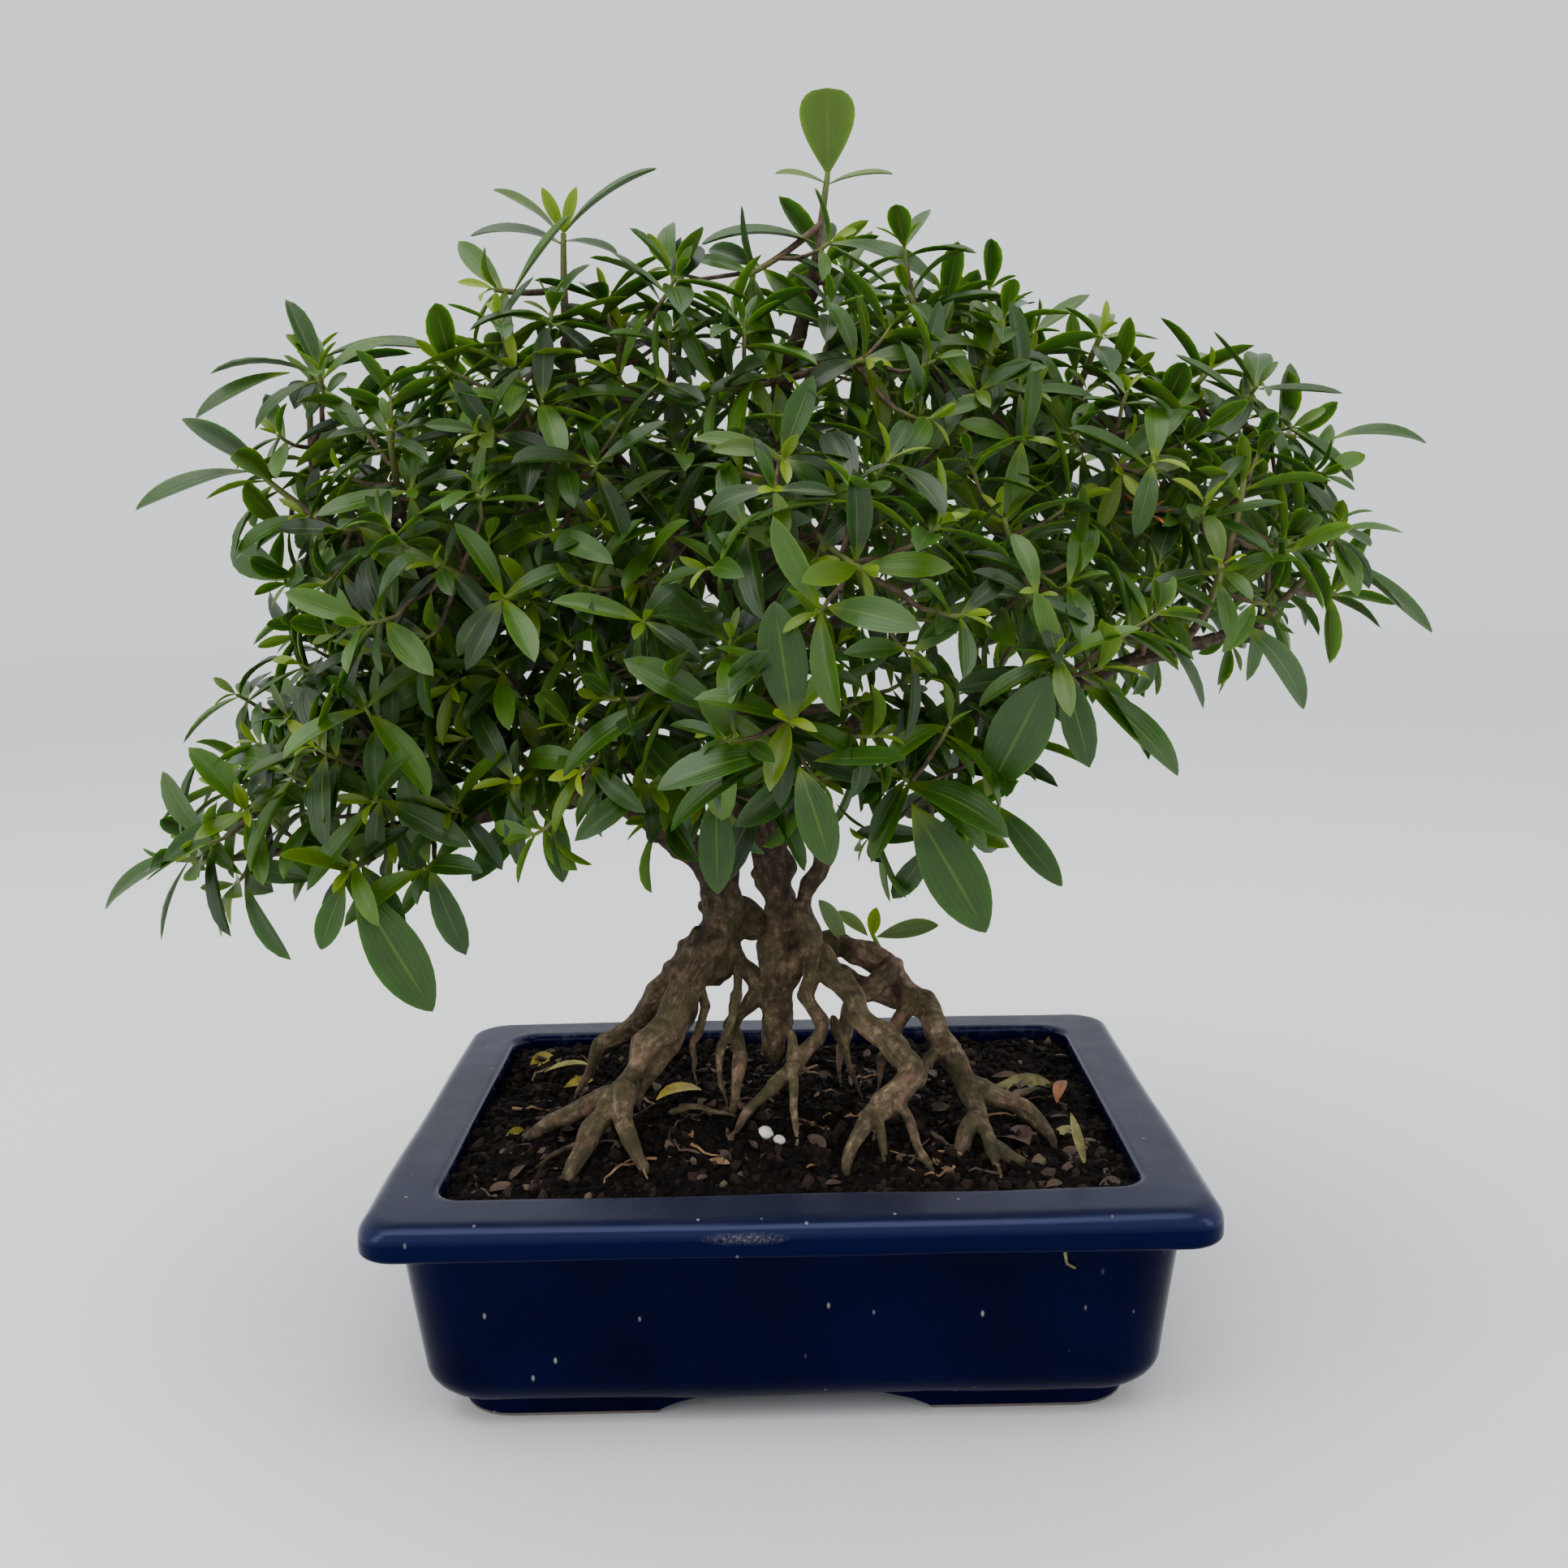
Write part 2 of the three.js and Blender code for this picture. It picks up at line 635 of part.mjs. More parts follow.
function addPart(group, name, solid, material) {
  const mesh = new THREE.Mesh(toGeometry(solid), material);
  mesh.name = name;
  group.add(mesh);
}

const pot = stand(makePot());
addPart(potGroup, 'pot', pot, materials.glaze);
addPart(potGroup, 'drain_mesh_left', makeDrainMesh(-1), materials.plasticMesh);
addPart(potGroup, 'drain_mesh_right', makeDrainMesh(1), materials.plasticMesh);

const trunkAndRoots = stand(makeTrunkAndRoots());
const trunkCutter = makeTrunkAndRoots(gap);
addPart(treeGroup, 'trunk_and_roots', trunkAndRoots, materials.bark);

const soil = stand(makeSoil(trunkCutter));
addPart(soilGroup, 'soil', soil, materials.soil);

const limbs = Object.entries(limbRoutes).map(([name, drawn]) => {
  const route = drawn.map(placeCrown);
  const solid = stand(tube(route, 6).subtract(trunkCutter));
  addPart(treeGroup, `${name}_limb`, solid, materials.bark);
  return { name, route, solid, cutter: tube(route, 6, gap) };
});

for (const limb of limbs) {
  const curve = curveOf(limb.route);
  shoots[limb.name].forEach(([share, tips], number) => {
    const shoot = stand(growShoot(curve.getPoint(share), tips, limb.solid, limb.cutter));
    addPart(treeGroup, `${limb.name}_shoot_${number + 1}`, shoot, materials.leaf);
  });
}

const arch = curveOf(rootRoutes.rightArch.map(placeRoot));
const suckerShoot = growShoot(arch.getPoint(sucker[0]), sucker[1], trunkAndRoots, trunkCutter);
addPart(treeGroup, 'root_sucker', stand(suckerShoot), materials.leaf);

addPart(soilGroup, 'fallen_leaf_yellow', fallenLeaf([-0.42, -0.2], 0.4, 0.6), materials.yellowLeaf);
addPart(soilGroup, 'fallen_leaf_lime', fallenLeaf([-0.85, 0.5], 0.2, 0.7), materials.greenLeaf);
addPart(soilGroup, 'fallen_leaf_orange', fallenLeaf([0.86, -0.06], 1.2, 0.45), materials.orangeLeaf);
addPart(soilGroup, 'fallen_leaf_brown', fallenLeaf([0.72, -0.56], 1.9, 0.6), materials.brownLeaf);
addPart(soilGroup, 'pellet_large', pellet([-0.07, -0.6], 2), materials.pellet);
addPart(soilGroup, 'pellet_small', pellet([-0.03, -0.65], 1.5), materials.pellet);

const bounds = new THREE.Box3().setFromObject(model);
const middle = bounds.getCenter(new THREE.Vector3());
model.position.set(-middle.x, -middle.y, -bounds.min.z);

const bonsai = new THREE.Group();
bonsai.add(model);

export default bonsai;
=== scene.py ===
# %% [markdown]
# # A small bonsai in a glazed pot
# The tree stands on a fan of bare roots over dark soil, in a low rectangular pot. The frame gives
# each piece its place, in metres. This file makes the pieces that are seen: the pot, the soil with
# its crumbs, the wood, the leafy shoots and what has fallen on the soil.

# %% Load the frame
import json
import math
import random

import bpy
import bmesh
import numpy as np
from mathutils import Matrix, Quaternion, Vector, noise
from mathutils.kdtree import KDTree

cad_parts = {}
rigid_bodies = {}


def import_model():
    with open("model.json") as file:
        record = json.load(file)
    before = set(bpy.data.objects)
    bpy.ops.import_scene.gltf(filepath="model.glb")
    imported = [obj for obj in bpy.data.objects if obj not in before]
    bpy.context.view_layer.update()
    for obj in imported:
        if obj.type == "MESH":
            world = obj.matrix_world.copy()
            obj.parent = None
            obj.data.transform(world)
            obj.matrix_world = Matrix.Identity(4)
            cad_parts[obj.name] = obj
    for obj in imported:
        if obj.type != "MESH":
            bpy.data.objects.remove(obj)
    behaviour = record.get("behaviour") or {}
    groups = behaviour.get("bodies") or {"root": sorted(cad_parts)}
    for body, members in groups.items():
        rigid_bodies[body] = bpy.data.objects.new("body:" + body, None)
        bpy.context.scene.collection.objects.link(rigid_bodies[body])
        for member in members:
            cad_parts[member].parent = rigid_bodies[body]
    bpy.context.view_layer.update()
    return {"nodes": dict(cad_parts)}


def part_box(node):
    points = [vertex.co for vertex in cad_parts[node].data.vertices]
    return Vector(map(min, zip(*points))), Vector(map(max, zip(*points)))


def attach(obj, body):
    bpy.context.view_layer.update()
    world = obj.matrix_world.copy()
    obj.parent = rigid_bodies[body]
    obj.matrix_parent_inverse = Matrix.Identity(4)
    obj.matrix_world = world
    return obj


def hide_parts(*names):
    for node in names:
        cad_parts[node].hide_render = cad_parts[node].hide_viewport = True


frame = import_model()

MM = 0.001
pot_low, pot_high = (Vector(corner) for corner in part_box("pot"))
pot_middle = (pot_low + pot_high) / 2

# %% [markdown]
# ## Camera
# A phone held a little over the rim of the pot, level with the lower leaves. The lens is close to
# a phone's main lens. A small shift keeps upright lines upright, so that the camera need not tilt.

# %% Camera


def place(x, y, z):
    """A point given in millimetres from the middle of the pot's base."""
    return Vector((pot_middle.x + x * MM, pot_middle.y + y * MM, z * MM))


camera_data = bpy.data.cameras.new("camera")
camera_data.lens = 36.47
camera_data.sensor_width = 36
camera_data.shift_y = -0.0813
camera_data.clip_start = 0.01
camera = bpy.data.objects.new("camera", camera_data)
bpy.context.scene.collection.objects.link(camera)
bpy.context.scene.camera = camera

tilt_down = math.radians(4.92)
turn_left = math.radians(-0.15)
roll = math.radians(-1.18)
facing = Vector((
    math.sin(turn_left) * math.cos(tilt_down),
    math.cos(turn_left) * math.cos(tilt_down),
    -math.sin(tilt_down),
))
level_right = Vector((math.cos(turn_left), -math.sin(turn_left), 0))
level_up = level_right.cross(facing)
right = level_right * math.cos(roll) + level_up * math.sin(roll)
above = level_up * math.cos(roll) - level_right * math.sin(roll)
camera.matrix_world = Matrix.Translation(place(2.2, -421, 213.6)) @ Matrix((
    (right.x, above.x, -facing.x, 0),
    (right.y, above.y, -facing.y, 0),
    (right.z, above.z, -facing.z, 0),
    (0, 0, 0, 1),
))
print("camera at", [round(v, 3) for v in camera.matrix_world.translation])

# %% [markdown]
# ## Studio
# A pale floor, a pale sky all round and one large soft lamp overhead, as on an overcast day. Two
# weaker lamps at the sides give the glaze long soft streaks to mirror.

# %% Helpers for meshes, nodes and colours


def add_object(name, mesh):
    made = bpy.data.objects.new(name, mesh)
    bpy.context.scene.collection.objects.link(made)
    return made


def add_mesh(name, points, faces):
    mesh = bpy.data.meshes.new(name)
    mesh.from_pydata([tuple(point) for point in points], [], faces)
    mesh.update()
    return mesh


def finished(name, source):
    """A plain copy of an object with its modifiers applied, and the object removed."""
    graph = bpy.context.evaluated_depsgraph_get()
    mesh = bpy.data.meshes.new_from_object(source.evaluated_get(graph), depsgraph=graph)
    mesh.name = name
    bpy.data.objects.remove(source)
    return add_object(name, mesh)


def linear(hex_colour):
    """An sRGB hex colour as linear red, green, blue and alpha."""
    shares = [int(hex_colour[i:i + 2], 16) / 255 for i in (1, 3, 5)]
    turned = [s / 12.92 if s <= 0.04045 else ((s + 0.055) / 1.055) ** 2.4 for s in shares]
    return (*turned, 1)


def node(tree, kind, inputs=None, **settings):
    """Adds a node. inputs holds a value or a socket to link for each input's name or number."""
    made = tree.nodes.new(kind)
    for name, value in settings.items():
        setattr(made, name, value)
    for name, value in (inputs or {}).items():
        if isinstance(value, bpy.types.NodeSocket):
            tree.links.new(value, made.inputs[name])
        else:
            made.inputs[name].default_value = value
    return made


def new_material(name):
    material = bpy.data.materials.new(name)
    material.use_nodes = True
    tree = material.node_tree
    return material, tree, tree.nodes["Principled BSDF"]


def ramp(tree, factor, stops):
    """A colour ramp from (position, colour) stops. The colour is a hex string or a grey level."""
    made = node(tree, "ShaderNodeValToRGB", {"Fac": factor})
    elements = made.color_ramp.elements
    while len(elements) < len(stops):
        elements.new(0.5)
    for element, (position, colour) in zip(elements, stops):
        element.position = position
        element.color = linear(colour) if isinstance(colour, str) else (colour, colour, colour, 1)
    return made.outputs["Color"]


def mix(tree, factor, first, second, blend="MIX"):
    made = tree.nodes.new("ShaderNodeMix")
    made.data_type = "RGBA"
    made.blend_type = blend
    for socket, value in zip((made.inputs[0], made.inputs[6], made.inputs[7]), (factor, first, second)):
        if isinstance(value, bpy.types.NodeSocket):
            tree.links.new(value, socket)
        else:
            socket.default_value = value
    return made.outputs[2]


def math_node(tree, operation, *values):
    made = node(tree, "ShaderNodeMath", dict(enumerate(values)), operation=operation)
    return made.outputs[0]


def noise_at(tree, where, size_mm, detail=4.0, roughness=0.55):
    """Noise whose lumps are about size_mm across."""
    inputs = {"Vector": where, "Scale": 1 / (size_mm * MM), "Detail": detail, "Roughness": roughness}
    return node(tree, "ShaderNodeTexNoise", inputs).outputs["Fac"]


# %% Floor, sky and lamps
floor_size = 12.0
floor = add_object("studio_floor", add_mesh("studio_floor", [
    (x * floor_size, y * floor_size, 0) for x, y in ((-1, -1), (1, -1), (1, 1), (-1, 1))
], [(0, 1, 2, 3)]))
SKY_COLOUR = (0.88, 0.905, 0.93, 1)
SKY_STRENGTH = 1.25
floor_paint, tree, floor_shader = new_material("matt_white_card")
floor_shader.inputs["Base Color"].default_value = linear("#e6e6e8")
floor_shader.inputs["Roughness"].default_value = 0.8
sky_glow = node(tree, "ShaderNodeEmission", {"Color": SKY_COLOUR, "Strength": SKY_STRENGTH})
where = node(tree, "ShaderNodeTexCoord").outputs["Object"]
far = node(tree, "ShaderNodeVectorMath", {0: where}, operation="LENGTH").outputs["Value"]
far_share = node(tree, "ShaderNodeMapRange", {"Value": far, "From Min": 0.5, "From Max": 3.5},
                 interpolation_type="SMOOTHSTEP").outputs[0]
faded = node(tree, "ShaderNodeMixShader", {0: far_share, 1: floor_shader.outputs[0], 2: sky_glow.outputs[0]})
tree.links.new(faded.outputs[0], tree.nodes["Material Output"].inputs["Surface"])
floor.data.materials.append(floor_paint)

world = bpy.data.worlds.new("overcast_sky")
world.use_nodes = True
sky = world.node_tree.nodes["Background"]
sky.inputs["Color"].default_value = SKY_COLOUR
sky.inputs["Strength"].default_value = SKY_STRENGTH
bpy.context.scene.world = world


def add_lamp(name, where, size, watts, colour=(1, 1, 1)):
    data = bpy.data.lights.new(name, "AREA")
    data.shape = "RECTANGLE"
    data.size, data.size_y = size
    data.energy = watts
    data.color = colour
    lamp = bpy.data.objects.new(name, data)
    bpy.context.scene.collection.objects.link(lamp)
    lamp.location = where
    lamp.rotation_euler = (Vector((0, 0, 0.15)) - Vector(where)).to_track_quat("-Z", "Y").to_euler()
    return lamp


add_lamp("overhead_softbox", (-0.15, -0.25, 1.3), (1.4, 1.2), 16, (1, 0.98, 0.95))
add_lamp("left_softbox", (-1.1, -0.7, 0.7), (0.5, 1.0), 3.5)
add_lamp("right_softbox", (1.2, -0.5, 0.6), (0.4, 1.0), 2.5)

# %% [markdown]
# ## The pot's shape
# Stoneware pressed in a mould: a tapered body with a thick rim, whose outer edge is rolled. One
# skin is lofted through rounded rectangles, out along the underside, up the wall, over the rim and
# down inside. The clay is never quite flat, so a slow noise moves the walls by a few tenths of a
# millimetre, and the light on the rim wavers as it does on a real pot.

# %% Pot sizes, in millimetres
pot_size = (pot_high - pot_low) / MM
rim_width = 16
rim_thickness = 9
rim_overhang = 7
rim_nose_radius = 4.5
rim_corner_radius = 9
body_corner_radius = 13
body_taper = 4
bottom_edge_radius = 10
floor_thickness = 7
opening_corner_radius = 8
foot_height = 4.5
foot_inset = 19
foot_width = 14
front_arch = 66
side_arch = 40
drain_diameter = 14
drain_spacing = 90
floor_top = foot_height + floor_thickness
soil_level = pot_size.z - 3


def rounded_ring(half_x, half_y, radius, z, corner_steps=10, side_steps=14):
    """A level rounded rectangle, anticlockwise from above, in millimetres."""
    ring = []
    for quarter, (sx, sy) in enumerate(((1, 1), (-1, 1), (-1, -1), (1, -1))):
        corner = Vector((sx * (half_x - radius), sy * (half_y - radius), z))
        for step in range(corner_steps + 1):
            angle = (quarter + step / corner_steps) * math.pi / 2
            ring.append(corner + radius * Vector((math.cos(angle), math.sin(angle), 0)))
        after = (quarter + 1) * math.pi / 2
        nx, ny = ((-1, 1), (-1, -1), (1, -1), (1, 1))[quarter]
        following = Vector((nx * (half_x - radius), ny * (half_y - radius), z))
        end = following + radius * Vector((math.cos(after), math.sin(after), 0))
        start = ring[-1]
        for step in range(1, side_steps):
            share = 0.5 - 0.5 * math.cos(math.pi * step / side_steps)
            ring.append(start.lerp(end, share))
    return ring


def loft(name, rings):
    """A closed skin over rings of equal count, with a point in the middle of each end."""
    count = len(rings[0])
    points = [point for ring in rings for point in ring]
    faces = []
    for ring in range(len(rings) - 1):
        for side in range(count):
            a, b = ring * count + side, ring * count + (side + 1) % count
            faces.append((a, b, b + count, a + count))
    last = (len(rings) - 1) * count
    points.append(sum(rings[0], Vector()) / count)
    points.append(sum(rings[-1], Vector()) / count)
    for side in range(count):
        faces.append((len(points) - 2, (side + 1) % count, side))
        faces.append((len(points) - 1, last + side, last + (side + 1) % count))
    return add_mesh(name, [place(*point) for point in points], faces)


def pot_ring(inset, z, radius):
    return rounded_ring(pot_size.x / 2 - inset, pot_size.y / 2 - inset, radius, z)


def inside_inset(z):
    return rim_width + body_taper * (1 - (z - floor_top) / (pot_size.z - floor_top))


def spaced(first, last, steps):
    return [first + (last - first) * step / steps for step in range(steps + 1)]


# %% Pot profile: (inset from the rim's outer edge, height, corner radius)
quarter_turn = spaced(0, math.pi / 2, 8)
lip_radius = 1.8
rim_underside = pot_size.z - rim_thickness
profile = []
for angle in quarter_turn:
    inset = rim_overhang + body_taper + bottom_edge_radius * (1 - math.sin(angle))
    height = foot_height + bottom_edge_radius * (1 - math.cos(angle))
    profile.append((inset, height, body_corner_radius))
wall_foot = foot_height + bottom_edge_radius
for share in spaced(0.08, 0.92, 8):
    inset = rim_overhang + body_taper * (1 - share)
    profile.append((inset, wall_foot + share * (rim_underside - wall_foot), body_corner_radius))
for angle in quarter_turn[::2]:
    profile.append((
        rim_overhang - 1.2 * (1 - math.cos(angle)),
        rim_underside - 1.2 * (1 - math.sin(angle)),
        body_corner_radius,
    ))
for share in spaced(0.25, 0.85, 3):
    profile.append((rim_overhang - 1.2 - share * 4, rim_underside, rim_corner_radius + 2 * (1 - share)))
for angle in quarter_turn:
    profile.append((
        1.5 * (1 - math.sin(angle)),
        rim_underside + 1.5 * (1 - math.cos(angle)),
        rim_corner_radius,
    ))
for angle in quarter_turn:
    profile.append((
        rim_nose_radius * (1 - math.cos(angle)),
        pot_size.z - rim_nose_radius * (1 - math.sin(angle)) - 0.35 * math.sin(angle),
        rim_corner_radius,
    ))
for share in spaced(0.15, 0.9, 5):
    inset = rim_nose_radius + share * (rim_width - lip_radius - rim_nose_radius)
    profile.append((inset, pot_size.z - 0.35 * (1 - share), rim_corner_radius))
for angle in quarter_turn:
    profile.append((
        rim_width - lip_radius * (1 - math.sin(angle)),
        pot_size.z - lip_radius * (1 - math.cos(angle)),
        opening_corner_radius,
    ))
for share in spaced(0.1, 0.96, 8):
    height = pot_size.z - lip_radius - share * (pot_size.z - lip_radius - floor_top)
    profile.append((inside_inset(height), height, opening_corner_radius))
profile.append((inside_inset(floor_top) + 1.5, floor_top, opening_corner_radius))
pot_body = add_object("pot_body", loft("pot_body", [pot_ring(*step) for step in profile]))


# %% Feet, drain holes and the uneven clay
def waver(mesh, amount_mm, size_mm):
    """Moves a mesh by a slow noise, in and out of the surface."""
    for vertex in mesh.vertices:
        swing = noise.noise(vertex.co / (size_mm * MM))
        vertex.co += vertex.normal * swing * amount_mm * MM


def foot(name, sx, sy):
    """One corner foot: an L in plan, with its free ends swept up to the pot's underside."""
    outer_x, outer_y = pot_size.x / 2 - foot_inset, pot_size.y / 2 - foot_inset
    arc = [Vector((outer_x - body_corner_radius * (1 - math.cos(a)),
                   outer_y - body_corner_radius * (1 - math.sin(a)), 0)) for a in quarter_turn]
    inner_x, inner_y = outer_x - foot_width, outer_y - foot_width
    outline = [Vector((inner_x, side_arch / 2, 0)), Vector((outer_x, side_arch / 2, 0)), *arc,
               Vector((front_arch / 2, outer_y, 0)), Vector((front_arch / 2, inner_y, 0)),
               Vector((inner_x, inner_y, 0))]
    shape = bmesh.new()
    layers = []
    for share in (0, 0.2, 0.45, 0.7, 1):
        sweep = share ** 2
        layer = []
        for p in outline:
            x = p.x - 22 * sweep if p.x == front_arch / 2 else p.x
            y = p.y - 12 * sweep if p.y == side_arch / 2 else p.y
            layer.append(shape.verts.new(place(sx * x, sy * y, share * (foot_height + 1.5))))
        layers.append(layer)
    shape.faces.new(layers[0])
    shape.faces.new(layers[-1])
    for low, high in zip(layers, layers[1:]):
        for i in range(len(outline)):
            j = (i + 1) % len(outline)
            shape.faces.new((low[i], low[j], high[j], high[i]))
    bmesh.ops.recalc_face_normals(shape, faces=shape.faces[:])
    edges = [e for e in shape.edges if all(v.co.z < 0.001 for v in e.verts)]
    bmesh.ops.bevel(shape, geom=edges, offset=0.7 * MM, segments=3, profile=0.5, affect="EDGES")
    mesh = bpy.data.meshes.new(name)
    shape.to_mesh(mesh)
    shape.free()
    return add_object(name, mesh)


def drill(name, x):
    ring = [Vector((x + drain_diameter / 2 * math.cos(a), drain_diameter / 2 * math.sin(a), 0))
            for a in spaced(0, 2 * math.pi, 32)[:-1]]
    lowest, highest = (Vector((0, 0, z)) for z in (1, floor_top + 3))
    return add_object(name, loft(name, [[p + lowest for p in ring], [p + highest for p in ring]]))


waver(pot_body.data, 0.45, 38)
helpers = [foot(f"foot_{i}", sx, sy) for i, (sx, sy) in enumerate(((1, 1), (-1, 1), (-1, -1), (1, -1)))]
cutters = [drill(f"drain_{i}", side * drain_spacing / 2) for i, side in enumerate((-1, 1))]
for other, operation in [*((h, "UNION") for h in helpers), *((c, "DIFFERENCE") for c in cutters)]:
    cut = pot_body.modifiers.new(other.name, "BOOLEAN")
    cut.object = other
    cut.operation = operation
    cut.solver = "EXACT"
pot = finished("glazed_pot", pot_body)
for other in helpers + cutters:
    bpy.data.objects.remove(other)
pot.data.set_sharp_from_angle(angle=math.radians(38))
for face in pot.data.polygons:
    face.use_smooth = True
print("pot faces:", len(pot.data.polygons))

# %% [markdown]
# ## Cobalt glaze
# Stoneware dipped in a cobalt glaze and fired glossy. The glaze is nearly black where it lies thick
# and bluer where it runs thin over the rim. The faces that look up carry a grey film, partly the dust of
# months outdoors and partly a painted reflection of the pale sky. There are pale specks of splashed
# grit and chalky water marks along the inner lip. How strongly the glaze reflects follows which way
# each face looks: painted shade on the walls and a painted highlight on the rolled edge of the rim.

# %% Glaze material
glaze, tree, shader = new_material("cobalt_glazed_stoneware")
where = node(tree, "ShaderNodeTexCoord").outputs["Object"]
geometry = node(tree, "ShaderNodeNewGeometry")
facing_up = node(tree, "ShaderNodeSeparateXYZ", {"Vector": geometry.outputs["Normal"]}).outputs["Z"]
position = node(tree, "ShaderNodeSeparateXYZ", {"Vector": where})
pooled = noise_at(tree, where, 28, 3)
colour = ramp(tree, pooled, [(0.3, "#010118"), (0.7, "#020428")])
rim_height = ramp(tree, math_node(tree, "DIVIDE", position.outputs["Z"], pot_size.z * MM),
                  [(0.8, 0.0), (0.9, 1.0)])
colour = mix(tree, rim_height, colour, linear("#02052c"))
# Grey film on the faces that look up: partly dust, partly a painted reflection of the pale sky.
film_and_sheen_noise = noise_at(tree, where, 9, 6, 0.65)
up_mask = ramp(tree, facing_up, [(0.75, 0.0), (0.98, 1.0)])
film_and_sky_sheen = math_node(tree, "MULTIPLY", up_mask, ramp(tree, film_and_sheen_noise, [(0.25, 0.3), (0.75, 0.6)]))
colour = mix(tree, film_and_sky_sheen, colour, linear("#2b2d3a"))
lip_x = math_node(tree, "ABSOLUTE", math_node(tree, "SUBTRACT", position.outputs["X"], pot_middle.x))
lip_y = math_node(tree, "ABSOLUTE", math_node(tree, "SUBTRACT", position.outputs["Y"], pot_middle.y))
past_x = math_node(tree, "SUBTRACT", lip_x, (pot_size.x / 2 - rim_width) * MM)
past_y = math_node(tree, "SUBTRACT", lip_y, (pot_size.y / 2 - rim_width) * MM)
past_lip = math_node(tree, "MAXIMUM", past_x, past_y)
chalk_band = ramp(tree, math_node(tree, "DIVIDE", past_lip, 6 * MM), [(0.0, 1.0), (0.45, 0.25), (1.0, 0.0)])
chalk_noise = ramp(tree, noise_at(tree, where, 4, 8, 0.75), [(0.5, 0.0), (0.85, 0.6)])
near_top = ramp(tree, math_node(tree, "DIVIDE", position.outputs["Z"], pot_size.z * MM),
                [(0.93, 0.0), (0.97, 1.0)])
chalk = math_node(tree, "MULTIPLY", math_node(tree, "MULTIPLY", chalk_band, chalk_noise), near_top)
colour = mix(tree, chalk, colour, linear("#6a696e"))
scuff_at = node(tree, "ShaderNodeVectorMath", {0: where, 1: tuple(place(-10, -pot_size.y / 2, 52))},
                operation="SUBTRACT").outputs["Vector"]
scuff_far = node(tree, "ShaderNodeVectorMath", {0: node(tree, "ShaderNodeVectorMath", {
    0: scuff_at, 1: (1 / (11 * MM), 1 / (5 * MM), 1 / (1.6 * MM))}, operation="MULTIPLY").outputs["Vector"]},
    operation="LENGTH").outputs["Value"]
scratches = ramp(tree, noise_at(tree, where, 0.8, 6, 0.8), [(0.45, 0.0), (0.65, 0.8)])
scuff = math_node(tree, "MULTIPLY", ramp(tree, scuff_far, [(0.3, 1.0), (1.0, 0.0)]), scratches)
colour = mix(tree, scuff, colour, linear("#6f6b66"))
bare_clay = ramp(tree, math_node(tree, "DIVIDE", position.outputs["Z"], MM), [(0.7, 1.0), (1.0, 0.0)])
colour = mix(tree, bare_clay, colour, linear("#6e675f"))
drawn_out = node(tree, "ShaderNodeVectorMath", {0: where, 1: (1, 1, 0.5)}, operation="MULTIPLY").outputs["Vector"]
cells = node(tree, "ShaderNodeTexVoronoi", {"Vector": drawn_out, "Scale": 1 / (5 * MM)})
specks = ramp(tree, cells.outputs["Distance"], [(0.04, 1.0), (0.1, 0.0)])
speck_choice = node(tree, "ShaderNodeSeparateColor", {"Color": cells.outputs["Color"]}).outputs["Red"]
specks = math_node(tree, "MULTIPLY", specks, ramp(tree, speck_choice, [(0.4, 0.0), (0.85, 1.0)]))
colour = mix(tree, math_node(tree, "MULTIPLY", specks, 0.6), colour, linear("#a8a39a"))
tree.links.new(colour, shader.inputs["Base Color"])
dull = math_node(tree, "MAXIMUM", film_and_sky_sheen, math_node(tree, "MAXIMUM", chalk, specks))
roughness = ramp(tree, dull, [(0.0, 0.2), (1.0, 0.6)])
tree.links.new(roughness, shader.inputs["Roughness"])
shader.inputs["IOR"].default_value = 1.45
# Painted reflection: reflection strength follows which way a face looks. It is low on the walls and underside (painted
# shade), high where faces slope up like the rolled rim edge (painted highlight), and middling on the flat top.
painted_reflection_strength = ramp(tree, facing_up, [(0.05, 0.06), (0.4, 0.5), (0.7, 0.5), (0.95, 0.22)])
tree.links.new(painted_reflection_strength, shader.inputs["Specular IOR Level"])
shader.inputs["Specular Tint"].default_value = (0.5, 0.58, 1, 1)
ripple = noise_at(tree, where, 14, 2)
bump = node(tree, "ShaderNodeBump", {"Height": ripple, "Strength": 0.12, "Distance": 0.6 * MM})
grit = node(tree, "ShaderNodeBump", {"Height": specks, "Strength": 0.5, "Distance": 0.2 * MM,
                                     "Normal": bump.outputs["Normal"]})
tree.links.new(grit.outputs["Normal"], shader.inputs["Normal"])
pot.data.materials.clear()
pot.data.materials.append(glaze)
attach(pot, "root")
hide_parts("pot")

# %% [markdown]
# ## Soil
# Bonsai soil is sifted bark, peat and grit, darker when wet. The bed is one closed block whose top
# is a fine grid, heaped round the roots and broken up by noise. The loose crumbs on it are three
# small lumps, scattered by Geometry Nodes with a seed, so that the scatter can be read and changed.

# %% Soil bed
mound_centre = Vector((-10, -20))
mound_spread = Vector((48, 32))
mound_height = 9
opening = Vector((pot_size.x / 2 - inside_inset(soil_level), pot_size.y / 2 - inside_inset(soil_level)))


def soil_height(x, y):
    """The height of the heaped soil in millimetres, before its crumbs."""
    dx, dy = (x - mound_centre.x) / mound_spread.x, (y - mound_centre.y) / mound_spread.y
    return soil_level + mound_height * math.exp(-dx * dx - dy * dy)


